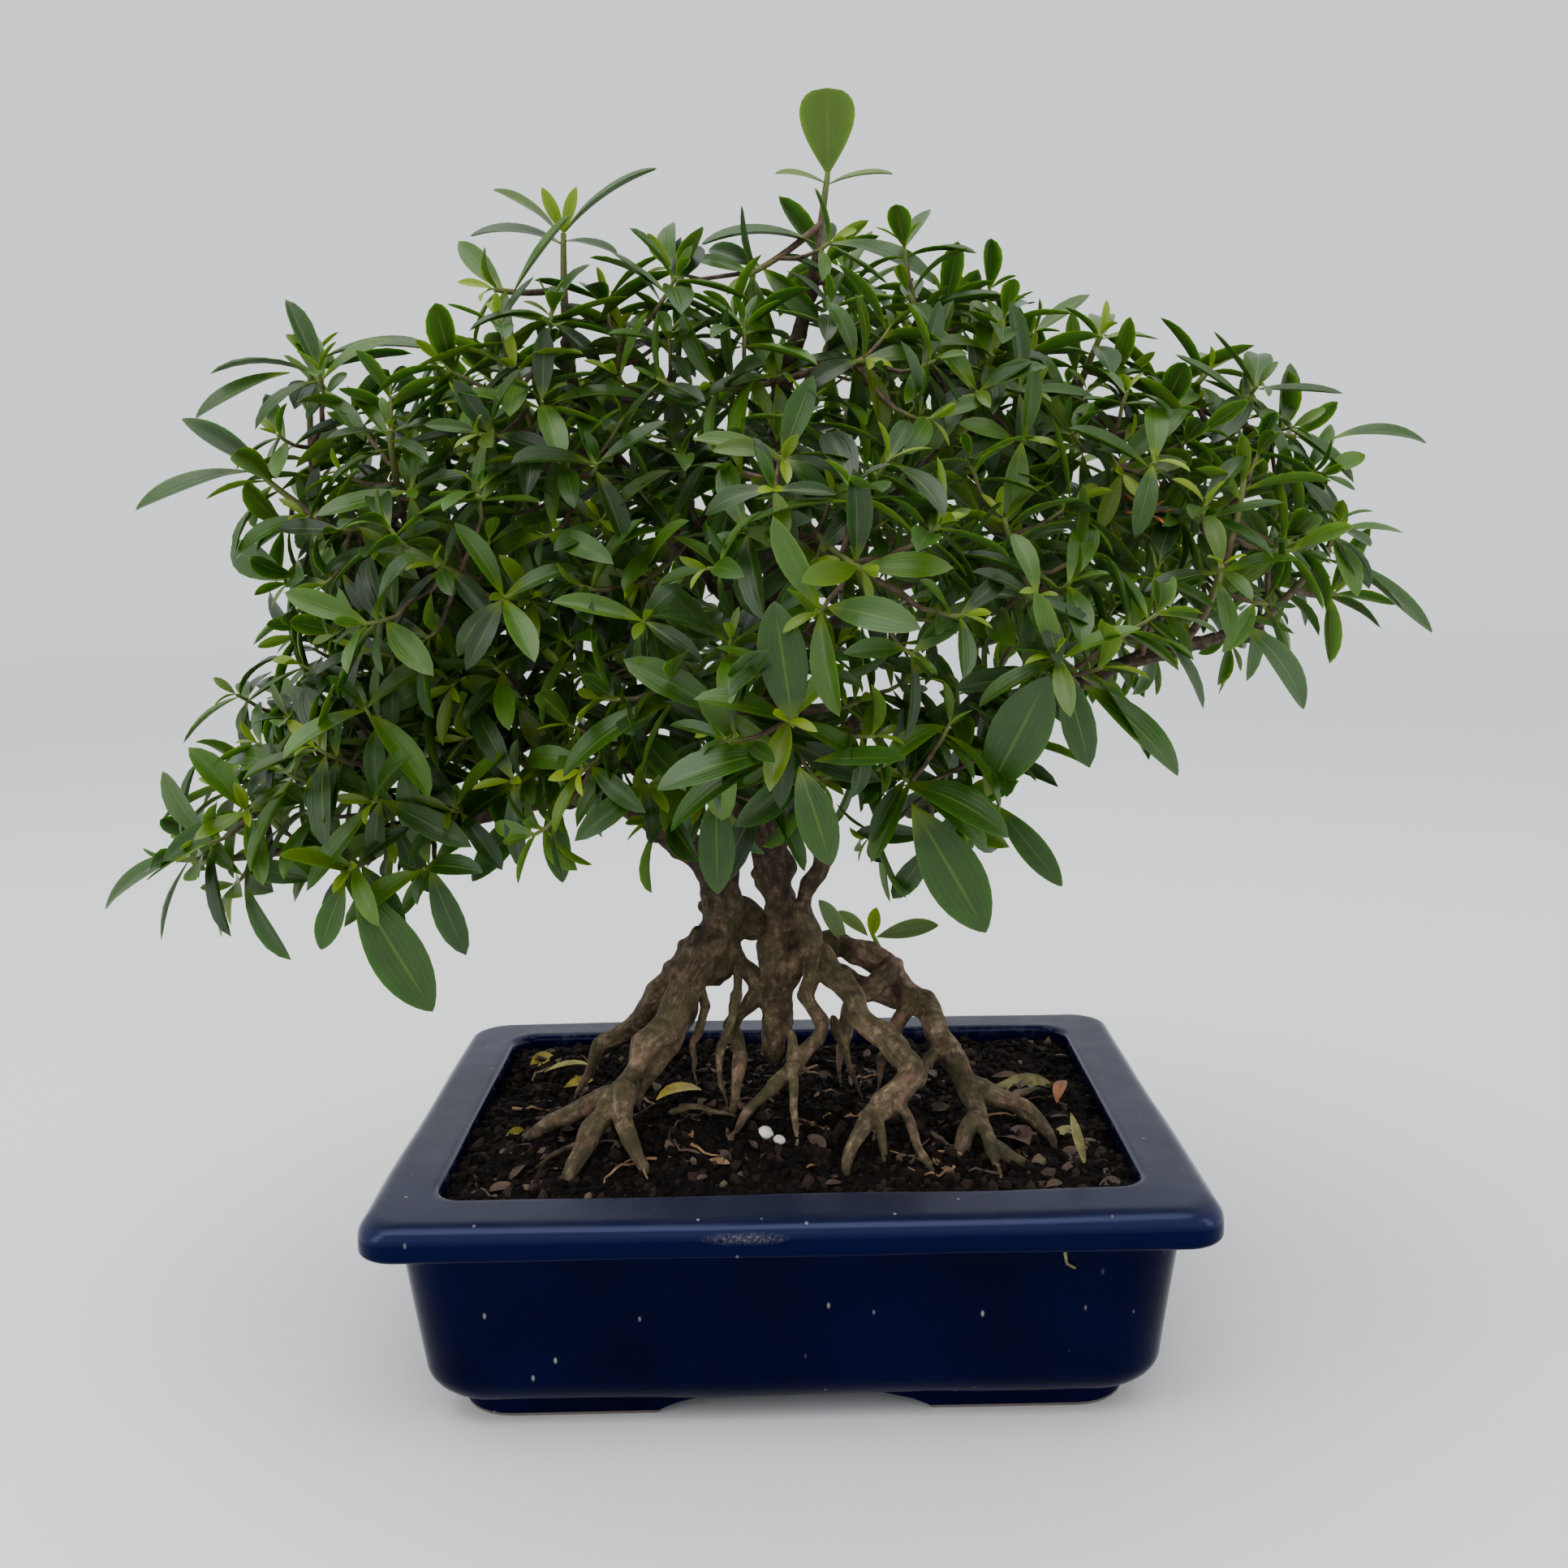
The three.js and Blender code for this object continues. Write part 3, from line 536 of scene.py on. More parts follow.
def crumbled_height(x, y):
    p = Vector((x, y, 3.7))
    edge = min(opening.x - abs(x), opening.y - abs(y))
    lumps = 1.5 * noise.noise(p / 13) + 0.9 * noise.noise(p / 5)
    cells = noise.voronoi(p / 3.1)[0]
    fine = noise.voronoi(p / 1.5 + Vector((9, 4, 2)))[0]
    crumbs = 1.5 * (cells[1] - cells[0]) + 0.6 * (fine[1] - fine[0]) - 0.7
    settled = -1.6 * math.exp(-edge / 5) if edge > 0 else -1.6
    return soil_height(x, y) + lumps + crumbs + settled


grid_step = 1.0
columns = int(2 * opening.x / grid_step) + 1
rows = int(2 * opening.y / grid_step) + 1


def soil_corner(x, y):
    """Pulls a grid point in to the opening's rounded corner."""
    inner = Vector((opening.x - opening_corner_radius, opening.y - opening_corner_radius))
    out = Vector((abs(x) - inner.x, abs(y) - inner.y))
    if out.x > 0 and out.y > 0 and out.length > opening_corner_radius:
        out *= opening_corner_radius / out.length
        return math.copysign(inner.x + out.x, x), math.copysign(inner.y + out.y, y)
    return x, y


bed = bmesh.new()
top = []
for row in range(rows):
    for column in range(columns):
        x = -opening.x + 2 * opening.x * column / (columns - 1)
        y = -opening.y + 2 * opening.y * row / (rows - 1)
        x, y = soil_corner(x, y)
        top.append(bed.verts.new(place(x, y, crumbled_height(x, y))))
for row in range(rows - 1):
    for column in range(columns - 1):
        a = row * columns + column
        bed.faces.new((top[a], top[a + 1], top[a + columns + 1], top[a + columns]))
rim_edges = [edge for edge in bed.edges if edge.is_boundary]
skirt = bmesh.ops.extrude_edge_only(bed, edges=rim_edges)["geom"]
bottom_scale = (pot_size.x / 2 - inside_inset(floor_top) - 0.3) / opening.x
for vertex in (part for part in skirt if isinstance(part, bmesh.types.BMVert)):
    offset = vertex.co - pot_middle
    vertex.co.x = pot_middle.x + offset.x * bottom_scale
    vertex.co.y = pot_middle.y + offset.y * bottom_scale
    vertex.co.z = (floor_top + 2) * MM
bmesh.ops.holes_fill(bed, edges=[edge for edge in bed.edges if edge.is_boundary])
bmesh.ops.recalc_face_normals(bed, faces=bed.faces[:])
bed_mesh = bpy.data.meshes.new("soil_bed")
bed.to_mesh(bed_mesh)
bed.free()
for face in bed_mesh.polygons:
    face.use_smooth = True
soil_bed = add_object("soil_bed", bed_mesh)
print("soil bed faces:", len(bed_mesh.polygons))

# %% Soil material
soil_paint, tree, shader = new_material("damp_bark_and_peat_soil")
where = node(tree, "ShaderNodeTexCoord").outputs["Object"]
patches = noise_at(tree, where, 12, 3)
grains = noise_at(tree, where, 1.2, 5, 0.7)
colour = mix(tree, ramp(tree, patches, [(0.35, 0.0), (0.7, 1.0)]),
             ramp(tree, grains, [(0.3, "#080504"), (0.6, "#18110c"), (0.78, "#32261c")]),
             ramp(tree, grains, [(0.3, "#040303"), (0.6, "#0e0a08"), (0.8, "#241b15")]))
shade = node(tree, "ShaderNodeAttribute", attribute_name="shade").outputs["Fac"]
colour = mix(tree, ramp(tree, shade, [(0.55, 0.0), (1.0, 0.7)]), colour, linear("#40322a"))
colour = mix(tree, ramp(tree, shade, [(0.975, 0.0), (0.99, 0.7)]), colour, linear("#7d6c59"))
tree.links.new(colour, shader.inputs["Base Color"])
shader.inputs["Roughness"].default_value = 0.88
shader.inputs["Specular IOR Level"].default_value = 0.15
bump = node(tree, "ShaderNodeBump", {"Height": grains, "Strength": 0.8, "Distance": 0.8 * MM})
tree.links.new(bump.outputs["Normal"], shader.inputs["Normal"])
bed_mesh.materials.append(soil_paint)

# %% [markdown]
# Crumbs are what makes soil read as soil. A tree of nodes spreads points over the top of the bed,
# puts a lump on each at a random size and turn, and makes them real. The lumps have twenty faces.

# %% Geometry Nodes: loose crumbs


def add_input(tree, name, kind, value=None):
    socket = tree.interface.new_socket(name=name, in_out="INPUT", socket_type=kind)
    if value is not None:
        socket.default_value = value
    return socket


def new_geometry_tree(name):
    tree = bpy.data.node_groups.new(name, "GeometryNodeTree")
    tree.interface.new_socket(name="Geometry", in_out="OUTPUT", socket_type="NodeSocketGeometry")
    add_input(tree, "Geometry", "NodeSocketGeometry")
    return tree


def run_tree(name, source, tree, values):
    """Runs a tree on an object with its named inputs set, and returns the result as a plain mesh."""
    modifier = source.modifiers.new(tree.name, "NODES")
    modifier.node_group = tree
    identifiers = {item.name: item.identifier for item in tree.interface.items_tree if item.in_out == "INPUT"}
    for label, value in values.items():
        modifier[identifiers[label]] = value
    return finished(name, source)


def lump_collection(name, meshes):
    collection = bpy.data.collections.new(name)
    for number, mesh in enumerate(meshes):
        collection.objects.link(bpy.data.objects.new(f"{name}_{number}", mesh))
    return collection


def remove_collection(collection):
    for member in list(collection.objects):
        bpy.data.objects.remove(member)
    bpy.data.collections.remove(collection)


def crumb_mesh(number):
    shape = bmesh.new()
    bmesh.ops.create_icosphere(shape, subdivisions=1, radius=0.5)
    for vertex in shape.verts:
        vertex.co *= 1 + 0.55 * noise.noise(vertex.co * 2.3 + Vector((number * 7.1, 0, 0)))
        vertex.co.z *= 0.75
    mesh = bpy.data.meshes.new(f"crumb_{number}")
    shape.to_mesh(mesh)
    shape.free()
    return mesh


crumb_tree = new_geometry_tree("scattered_crumbs")
add_input(crumb_tree, "Crumbs", "NodeSocketCollection")
add_input(crumb_tree, "Spacing", "NodeSocketFloat", 1.0 * MM)
add_input(crumb_tree, "Density", "NodeSocketFloat", 100000.0)
add_input(crumb_tree, "Smallest", "NodeSocketFloat", 0.5 * MM)
add_input(crumb_tree, "Largest", "NodeSocketFloat", 2.4 * MM)
add_input(crumb_tree, "Rarity Of Large", "NodeSocketFloat", 2.6)
add_input(crumb_tree, "Seed", "NodeSocketInt", 4)
add_input(crumb_tree, "Material", "NodeSocketMaterial")
start = crumb_tree.nodes.new("NodeGroupInput")
normal = node(crumb_tree, "GeometryNodeInputNormal")
upward = node(crumb_tree, "ShaderNodeSeparateXYZ", {0: normal.outputs["Normal"]}).outputs["Z"]
on_top = node(crumb_tree, "FunctionNodeCompare", {0: upward, 1: 0.35}, data_type="FLOAT",
              operation="GREATER_THAN").outputs[0]
spread = node(crumb_tree, "GeometryNodeDistributePointsOnFaces", {
    "Mesh": start.outputs["Geometry"], "Selection": on_top, "Distance Min": start.outputs["Spacing"],
    "Density Max": start.outputs["Density"], "Seed": start.outputs["Seed"]}, distribute_method="POISSON")
picked = node(crumb_tree, "GeometryNodeCollectionInfo", {
    "Collection": start.outputs["Crumbs"], "Separate Children": True, "Reset Children": True})
turn = node(crumb_tree, "FunctionNodeRandomValue", {"Max": (6.28, 6.28, 6.28)}, data_type="FLOAT_VECTOR")
chance = node(crumb_tree, "FunctionNodeRandomValue", {2: 0.0, 3: 1.0, "Seed": 9}, data_type="FLOAT")
rare_big = node(crumb_tree, "ShaderNodeMath", {0: chance.outputs[1], 1: start.outputs["Rarity Of Large"]},
                operation="POWER").outputs[0]
size = node(crumb_tree, "ShaderNodeMapRange", {
    "Value": rare_big, "To Min": start.outputs["Smallest"], "To Max": start.outputs["Largest"]}).outputs[0]
crumbs = node(crumb_tree, "GeometryNodeInstanceOnPoints", {
    "Points": spread.outputs["Points"], "Instance": picked.outputs[0], "Pick Instance": True,
    "Rotation": turn.outputs[0], "Scale": size})
own_shade = node(crumb_tree, "FunctionNodeRandomValue", {2: 0.0, 3: 1.0, "Seed": 5}, data_type="FLOAT")
shaded = node(crumb_tree, "GeometryNodeStoreNamedAttribute", {
    "Geometry": crumbs.outputs["Instances"], "Name": "shade", "Value": own_shade.outputs[1]},
    data_type="FLOAT", domain="INSTANCE")
real = node(crumb_tree, "GeometryNodeRealizeInstances", {"Geometry": shaded.outputs["Geometry"]})
painted = node(crumb_tree, "GeometryNodeSetMaterial", {
    "Geometry": real.outputs["Geometry"], "Material": start.outputs["Material"]})
end = node(crumb_tree, "NodeGroupOutput", {"Geometry": painted.outputs["Geometry"]})

crumb_kinds = lump_collection("crumb_kinds", [crumb_mesh(i) for i in range(4)])
scatter_on = add_object("scatter_on", bed_mesh.copy())
soil_crumbs = run_tree("soil_crumbs", scatter_on, crumb_tree, {
    "Crumbs": crumb_kinds, "Material": soil_paint, "Spacing": 1.25 * MM, "Density": 420000.0,
    "Smallest": 0.9 * MM, "Largest": 4.6 * MM, "Rarity Of Large": 2.2})
remove_collection(crumb_kinds)
print("crumb faces:", len(soil_crumbs.data.polygons))
for piece in (soil_bed, soil_crumbs):
    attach(piece, "root")
    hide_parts("soil")

# %% [markdown]
# ## Wood
# Trunks, roots and limbs grew as one piece. Each follows a route of a few points, given as
# [x, y, height over the soil's edge, radius] in millimetres from the middle of the pot. Lumpy tubes
# are laid along the routes and fused by a voxel remesh, which rounds the forks as growth does. The
# bark's ridges are then pressed into the mesh along the grain of each branch.

# %% Routes of the trunks and roots
trunk_routes = {
    "main_trunk": [(-4, -6, 19, 4.5), (-2, -3, 40, 6), (-1, -2, 56, 4.8), (-3, -1, 70, 6.2), (-5, 0, 83, 5.4),
                   (-6, 2, 96, 5.2), (-4, 4, 117, 5), (-1, 4, 143, 4.5), (4, 2, 170, 4)],
    "left_trunk": [(-20, 0, 40, 6.5), (-17, 0, 58, 7), (-22, 0, 70, 6), (-30, -2, 78, 5.5), (-38, -5, 85, 5)],
    "thin_stem": [(-15, 0, 57, 2.6), (-12, 0, 80, 2.6), (-12, 4, 97, 2.6)],
    "right_stem": [(0, -4, 40, 4.5), (7, -8, 48, 4), (5, -8, 60, 3.2), (10, -8, 70, 3), (8, -8, 84, 3),
                   (11, -8, 97, 3), (21, -14, 110, 3)],
}
root_routes = {
    "back_left": [(-20, 1, 50, 5), (-31, 8, 36, 4.2), (-41, 14, 22, 4), (-54, 17, 12, 3.2), (-61, 10, -3, 2.2)],
    "front_left": [(-20, -2, 48, 6.5), (-25, -7, 41, 6), (-37, -17, 23, 5), (-45, -26, 15, 4.4)],
    "front_left_outer": [(-45, -26, 15, 3.4), (-56, -25, 10, 3), (-65, -22, 5, 2.6), (-71, -20, -4, 2)],
    "front_left_fore": [(-45, -26, 15, 3.6), (-49, -38, 10, 3), (-53, -46, 5, 3), (-57, -51, -3, 2.2)],
    "front_left_inner": [(-42, -26, 17, 3.4), (-41, -39, 10, 2.8), (-36, -45, 5, 2.6), (-32, -49, -3, 1.8)],
    "left_brace": [(-22, 0, 44, 4), (-27, -1, 31, 3.6), (-32, -9, 19, 3.2), (-41, -19, 10, 3)],
    "right_elbow": [(9, -8, 46, 3.8), (18, -18, 34, 3.7), (30, -28, 23, 4.2), (27, -35, 17, 4),
                    (17, -42, 10, 3.5), (12, -51, -3, 2.8)],
    "right_arch": [(-1, 2, 44, 5), (6, 12, 44, 4.2), (24, 13, 39, 4), (36, 5, 28, 4.1), (45, -8, 15, 4.2),
                   (48, -22, 8, 3.8), (50, -36, 4, 3), (52, -51, -4, 2)],
    "right_arch_inner": [(48, -26, 7, 2.8), (42, -36, 4, 2.4), (35, -38, -4, 1.8)],
    "right_arch_outer": [(50, -35, 4, 2.6), (57, -41, 1, 2), (62, -43, -4, 1.8)],
    "right_reach": [(46, -12, 12, 3.6), (57, -18, 8, 3), (65, -20, 4, 2.8), (69, -29, -4, 2.2)],
    "thin_front": [(8, -9, 46, 2.8), (5, -14, 37, 2.6), (9, -19, 28, 2.5), (-2, -28, 19, 2.5), (-16, -36, 4, 2.2)],
    "hair": [(-2, -7, 29, 1.8), (1, -18, 27, 1.6), (1, -31, 18, 1.5), (1, -42, 0, 1.4)],
    "middle_brace": [(-5, -2, 38, 3), (-14, -5, 26, 2.7), (-13, -15, 18, 2.5), (-16, -29, 4, 2.3)],
    "strut": [(-15, 0, 47, 3.2), (-11, -2, 40, 3), (-4, -4, 30, 3)],
    "bridge": [(-19, 2, 57, 5), (-9, 4, 52, 5.5), (0, 1, 47, 5)],
    "rear_left": [(-8, 4, 50, 5), (-14, 20, 33, 4.5), (-24, 36, 17, 4), (-31, 48, -4, 3)],
    "rear_right": [(1, 3, 46, 4), (12, 26, 30, 3.8), (20, 40, 14, 3.4), (25, 50, -4, 2.6)],
}

# %% Routes of the fine rootlets that the CAD leaves out
rootlet_routes = {
    "under_left": [(-24, -3, 40, 1.8), (-22, -5, 28, 1.4), (-26, -7, 20, 1.2), (-24, -10, 10, 1)],
    "left_drip": [(-31, -10, 28, 2), (-33, -14, 22, 2.4), (-38, -16, 17, 2.2), (-39, -19, 8, 1.4)],
    "braid": [(-13, -4, 42, 1.4), (-15, -9, 30, 1.2), (-19, -14, 18, 1.1), (-15, -24, 6, 0.9)],
    "cross": [(43, -4, 20, 2), (38, -9, 17, 1.7), (32, -18, 14, 1.5), (28, -24, 20, 1.5)],
    "arch_strand": [(30, 9, 37, 3), (22, 4, 32, 2.6), (16, 2, 22, 2), (14, -4, 8, 1.4)],
    "arch_twin": [(4, 7, 40, 4), (16, 10, 33, 3.6), (28, 7, 29, 3), (36, 2, 25, 2.6)],
    "arch_drop": [(34, 5, 29, 2), (30, 2, 22, 1.8), (26, 4, 12, 1.6), (24, 2, 4, 1.2)],
    "right_prop": [(27, -36, 16, 1.6), (31, -40, 8, 1.2), (34, -46, 3, 1), (36, -52, -2, 0.8)],
    "right_prop_low": [(22, -40, 13, 1.4), (24, -42, 7, 1), (23, -46, 2, 0.8)],
    "thin_straight": [(12, -14, 30, 1.2), (16, -12, 16, 1), (20, -10, 6, 0.9)],
    "soil_run_1": [(8, -30, 6, 0.7), (12, -34, 4, 0.8), (18, -38, 3, 0.7), (24, -40, 1, 0.5)],
    "soil_run_2": [(36, -30, 5, 0.8), (40, -33, 3, 0.8), (44, -36, 2, 0.7), (49, -38, 2, 0.6)],
    "soil_run_3": [(-30, -28, 11, 0.9), (-24, -27, 12, 0.9), (-16, -27, 10, 0.7), (-8, -30, 7, 0.6)],
    "soil_run_4": [(-16, -28, 8, 0.7), (-14, -36, 6, 0.7), (-9, -44, 3, 0.6), (-2, -52, 1, 0.5)],
    "soil_run_5": [(-58, -22, 8, 0.8), (-60, -8, 4, 0.8), (-56, 4, 2, 0.6)],
    "soil_run_6": [(58, -10, 5, 1.2), (66, 2, 3, 1), (72, 10, 1, 0.7)],
    "soil_run_7": [(-46, -30, 9, 0.9), (-58, -36, 4, 0.8), (-68, -44, 0, 0.6)],
}

# %% Routes of the limbs
limb_routes = {
    "low_left": [(-38, -5, 85, 4.8), (-46, -9, 90, 4.5), (-65, -14, 90, 4), (-92, -20, 84, 3), (-112, -24, 84, 2.2)],
    "upper_left": [(-12, 4, 97, 2.6), (-22, 0, 110, 3.2), (-38, -4, 127, 3.4), (-60, -10, 144, 3),
                   (-88, -14, 148, 2.4), (-106, -14, 158, 1.8)],
    "top_left": [(-3, 4, 128, 3.2), (-18, 2, 146, 3), (-36, 0, 168, 2.8), (-50, -4, 190, 2.4), (-54, -2, 208, 1.8)],
    "centre": [(4, 2, 170, 3.8), (0, -6, 186, 3.2), (6, -6, 206, 2.6), (12, -2, 228, 1.8)],
    "upper_right": [(-1, 4, 146, 3.4), (18, 8, 160, 3.2), (46, 6, 176, 2.8), (78, 4, 184, 2.4), (106, 6, 184, 1.8)],
    "right": [(21, -14, 110, 2.9), (42, -24, 110, 3), (64, -32, 116, 2.8), (92, -32, 126, 2.4), (124, -12, 130, 1.8)],
    "front": [(-4, 1, 108, 3), (-8, -18, 114, 2.8), (-4, -40, 116, 2.4), (4, -62, 118, 1.8)],
    "rear_left": [(-6, 3, 106, 3), (-22, 28, 116, 2.8), (-44, 52, 130, 2.4), (-62, 72, 138, 1.8)],
    "rear_right": [(-3, 5, 122, 3), (20, 32, 134, 2.8), (48, 52, 144, 2.4), (76, 62, 146, 1.8)],
    "rear": [(0, 4, 154, 3), (2, 30, 166, 2.6), (2, 54, 172, 2.2), (4, 76, 172, 1.8)],
}


WOOD_GIRTH = 0.82


def over_soil(point):
    x, y, height = point[:3]
    return Vector((x, y, soil_level + height))


def root_taper(samples):
    """Thins the last half of a root, as it goes into the soil."""
    last = len(samples) - 1
    return [(centre, radius * (1 - 0.7 * max(0, (i / last - 0.5) / 0.5) ** 1.4))
            for i, (centre, radius) in enumerate(samples)]


def wander(samples, amount, seed):
    """Bends a route a little from side to side, but not at its ends."""
    last = len(samples) - 1
    bent = []
    for i, (centre, radius) in enumerate(samples):
        hold = min(1.0, i / 8, (last - i) / 8)
        p = Vector((i / 9, seed * 1.7, 0.0))
        sway = Vector((noise.noise(p), noise.noise(p + Vector((0, 5, 3))), 0.6 * noise.noise(p + Vector((0, 9, 8)))))
        bent.append((centre + sway * amount * hold, radius))
    return bent


def smooth_route(route, step=1.0):
    """Points and radii about every step millimetres on a smooth curve through a route."""
    knots = [(*over_soil(point), point[3]) for point in route]
    knots = np.array([2 * np.array(knots[0]) - knots[1], *knots, 2 * np.array(knots[-1]) - knots[-2]])
    samples = []
    for i in range(1, len(knots) - 2):
        a, b, c, d = knots[i - 1:i + 3]
        count = max(2, int(np.linalg.norm((c - b)[:3]) / step))
        for t in np.arange(count) / count:
            samples.append(0.5 * (2 * b + (c - a) * t + (2 * a - 5 * b + 4 * c - d) * t ** 2
                                  + (3 * b - a - 3 * c + d) * t ** 3))
    samples.append(knots[-2])
    return [(Vector(sample[:3]), float(sample[3])) for sample in samples]


def frames_along(samples):
    """For each sample, its direction and two directions across it that turn as little as they can."""
    frames = []
    across = Vector((1, 0, 0))
    for i in range(len(samples)):
        before, after = samples[max(i - 1, 0)][0], samples[min(i + 1, len(samples) - 1)][0]
        along = (after - before).normalized()
        across = across - along * across.dot(along)
        if across.length < 0.1:
            across = Vector((0, 1, 0)) - along * along.y
        across.normalize()
        frames.append((along, across.copy(), along.cross(across)))
    return frames


def tube_rings(samples, sides, lump, seed):
    """Rings of points round a route, with lumps of a share of the radius and blunt ends."""
    frames = frames_along(samples)
    rings = []
    shifts = [(0, -0.8, 0.45), *((i, 0, 1) for i in range(len(samples))), (len(samples) - 1, 0.8, 0.45)]
    for i, push, shrink in shifts:
        (centre, radius), (along, across, other) = samples[i], frames[i]
        ring = []
        for side in range(sides):
            angle = 2 * math.pi * side / sides
            out = across * math.cos(angle) + other * math.sin(angle)
            bulge = noise.noise(centre / 8 + out * 0.9 + Vector((seed, 0, 0)))
            knot = noise.noise(centre / 17 + Vector((0, seed, 0)))
            reach = radius * shrink * (1 + lump * bulge + 0.5 * lump * knot)
            ring.append(centre + along * push * radius + out * reach)
        rings.append(ring)
    return rings


# %% Fuse the tubes into one wood
wood_points, wood_faces = [], []
grain_samples = []
all_routes = {**trunk_routes, **root_routes, **limb_routes, **rootlet_routes}
for number, (name, route) in enumerate(all_routes.items()):
    samples = smooth_route(route)
    if name not in rootlet_routes:
        samples = [(centre, radius * WOOD_GIRTH) for centre, radius in samples]
    if name in root_routes or name in rootlet_routes:
        samples = wander(root_taper(samples), 2.3 if name in root_routes else 2.8, number)
    lump = 0.42 if name == "main_trunk" else 0.34
    rings = tube_rings(samples, 14, lump, number * 3.7)
    first = len(wood_points)
    for ring in rings:
        wood_points += [place(*point) for point in ring]
    for i in range(len(rings) - 1):
        for side in range(14):
            a, b = first + i * 14 + side, first + i * 14 + (side + 1) % 14
            wood_faces.append((a, b, b + 14, a + 14))
    wood_faces.append([first + side for side in range(13, -1, -1)])
    wood_faces.append([first + (len(rings) - 1) * 14 + side for side in range(14)])
    reach = 0.0
    for (centre, radius), frame_here in zip(samples, frames_along(samples)):
        grain_samples.append((centre, radius, frame_here, reach, number))
        reach += 1.0
raw_wood = add_object("raw_wood", add_mesh("raw_wood", wood_points, wood_faces))
remesh = raw_wood.modifiers.new("fuse", "REMESH")
remesh.mode = "VOXEL"
remesh.voxel_size = 0.62 * MM
smoothing = raw_wood.modifiers.new("round", "SMOOTH")
smoothing.factor = 0.5
smoothing.iterations = 3
wood = finished("fused_wood", raw_wood)
print("wood faces:", len(wood.data.polygons))

# %% Press the bark into the wood
finder = KDTree(len(grain_samples))
for i, sample in enumerate(grain_samples):
    finder.insert(place(*sample[0]), i)
finder.balance()
grain = np.zeros((len(wood.data.vertices), 3), dtype=np.float32)
moved = []
for vertex in wood.data.vertices:
    _, found, _ = finder.find(vertex.co)
    centre, radius, (along, across, other), reach, number = grain_samples[found]
    offset = (vertex.co - place(*centre)) / MM
    angle = math.atan2(offset.dot(other), offset.dot(across))
    run = reach + offset.dot(along)
    p = Vector((math.cos(angle) * radius, math.sin(angle) * radius, run * 0.22 + number * 31.0))
    grain[vertex.index] = p
    ridges = noise.noise(p / 1.3) * 0.6 + noise.noise(p / 0.7) * 0.3
    flakes = noise.noise(Vector((p.x, p.y, run)) / 3.1)
    lumps = noise.noise(vertex.co / (6 * MM))
    depth = min(radius, 6) / 6
    knobs = max(0.0, noise.noise(vertex.co / (4.5 * MM) + Vector((3, 1, 4))) - 0.12)
    rise = (vertex.co.z / MM - soil_level) / 60
    aged = min(1.0, max(0.15, rise))
    push = (0.4 * ridges + 0.5 * max(flakes, 0) + 0.4 * lumps + 3.2 * aged * knobs) * (0.3 + 0.7 * depth)
    moved.append(vertex.co + vertex.normal * push * MM)
for vertex, co in zip(wood.data.vertices, moved):
    vertex.co = co
attribute = wood.data.attributes.new("grain", "FLOAT_VECTOR", "POINT")
attribute.data.foreach_set("vector", grain.ravel())
for face in wood.data.polygons:
    face.use_smooth = True
wood.data.update()

# %% [markdown]
# ## Bark
# Young bark of a small evergreen: grey-brown, finely ridged along the grain, with tan and pinkish
# patches where the outer skin has flaked off the roots, a green bloom of algae low down, and a colour
# that grows darker towards the soil. The ridges read the wood's own grain attribute, so that they follow each branch.

# %% Bark material
bark, tree, shader = new_material("ridged_living_bark")
where = node(tree, "ShaderNodeTexCoord").outputs["Object"]
along_grain = node(tree, "ShaderNodeAttribute", attribute_name="grain").outputs["Vector"]
height_over_soil = node(tree, "ShaderNodeSeparateXYZ", {"Vector": where}).outputs["Z"]
rise = node(tree, "ShaderNodeMapRange", {
    "Value": height_over_soil, "From Min": soil_level * MM, "From Max": (soil_level + 110) * MM}).outputs[0]
streaks = node(tree, "ShaderNodeTexNoise", {"Vector": along_grain, "Scale": 0.9, "Detail": 8.0,
                                            "Roughness": 0.7}).outputs["Fac"]
mottled = math_node(tree, "MULTIPLY_ADD", streaks, 0.45,
                    math_node(tree, "MULTIPLY", noise_at(tree, where, 2.2, 6, 0.65), 0.55))
old = ramp(tree, mottled, [(0.34, "#140d07"), (0.5, "#35271a"), (0.66, "#6a5540")])
root_skin = ramp(tree, mottled, [(0.34, "#2e2416"), (0.5, "#78644a"), (0.66, "#c2ac8e")])
root_share = ramp(tree, rise, [(0.2, 1.0), (0.6, 0.0)])
patches = ramp(tree, noise_at(tree, where, 9, 4, 0.6), [(0.4, 0.25), (0.62, 1.0)])
colour = mix(tree, math_node(tree, "MULTIPLY", root_share, patches), old, root_skin)
pink = ramp(tree, noise_at(tree, where, 6, 3), [(0.55, 0.0), (0.7, 0.6)])
colour = mix(tree, math_node(tree, "MULTIPLY", pink, root_share), colour, linear("#9c7261"))
algae = ramp(tree, noise_at(tree, where, 11, 4, 0.6), [(0.42, 0.0), (0.6, 0.85)])
low = ramp(tree, rise, [(0.0, 0.9), (0.45, 0.6), (0.7, 0.0)])
colour = mix(tree, math_node(tree, "MULTIPLY", algae, low), colour, linear("#3f4020"))
# Darker towards the soil, over the lowest 20 mm or so, broken up by noise.
darker_near_soil = ramp(tree, rise, [(0.0, 0.85), (0.09, 0.35), (0.2, 0.0)])
colour = mix(tree, math_node(tree, "MULTIPLY", darker_near_soil, noise_at(tree, where, 3, 4)), colour, linear("#1d1713"))
tree.links.new(colour, shader.inputs["Base Color"])
shader.inputs["Roughness"].default_value = 0.82
shader.inputs["Specular IOR Level"].default_value = 0.35
fine = noise_at(tree, where, 0.9, 6, 0.7)
relief = math_node(tree, "ADD", streaks, math_node(tree, "MULTIPLY", fine, 0.4))
bump = node(tree, "ShaderNodeBump", {"Height": relief, "Strength": 0.7, "Distance": 0.9 * MM})
tree.links.new(bump.outputs["Normal"], shader.inputs["Normal"])
wood.data.materials.append(bark)
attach(wood, "root")
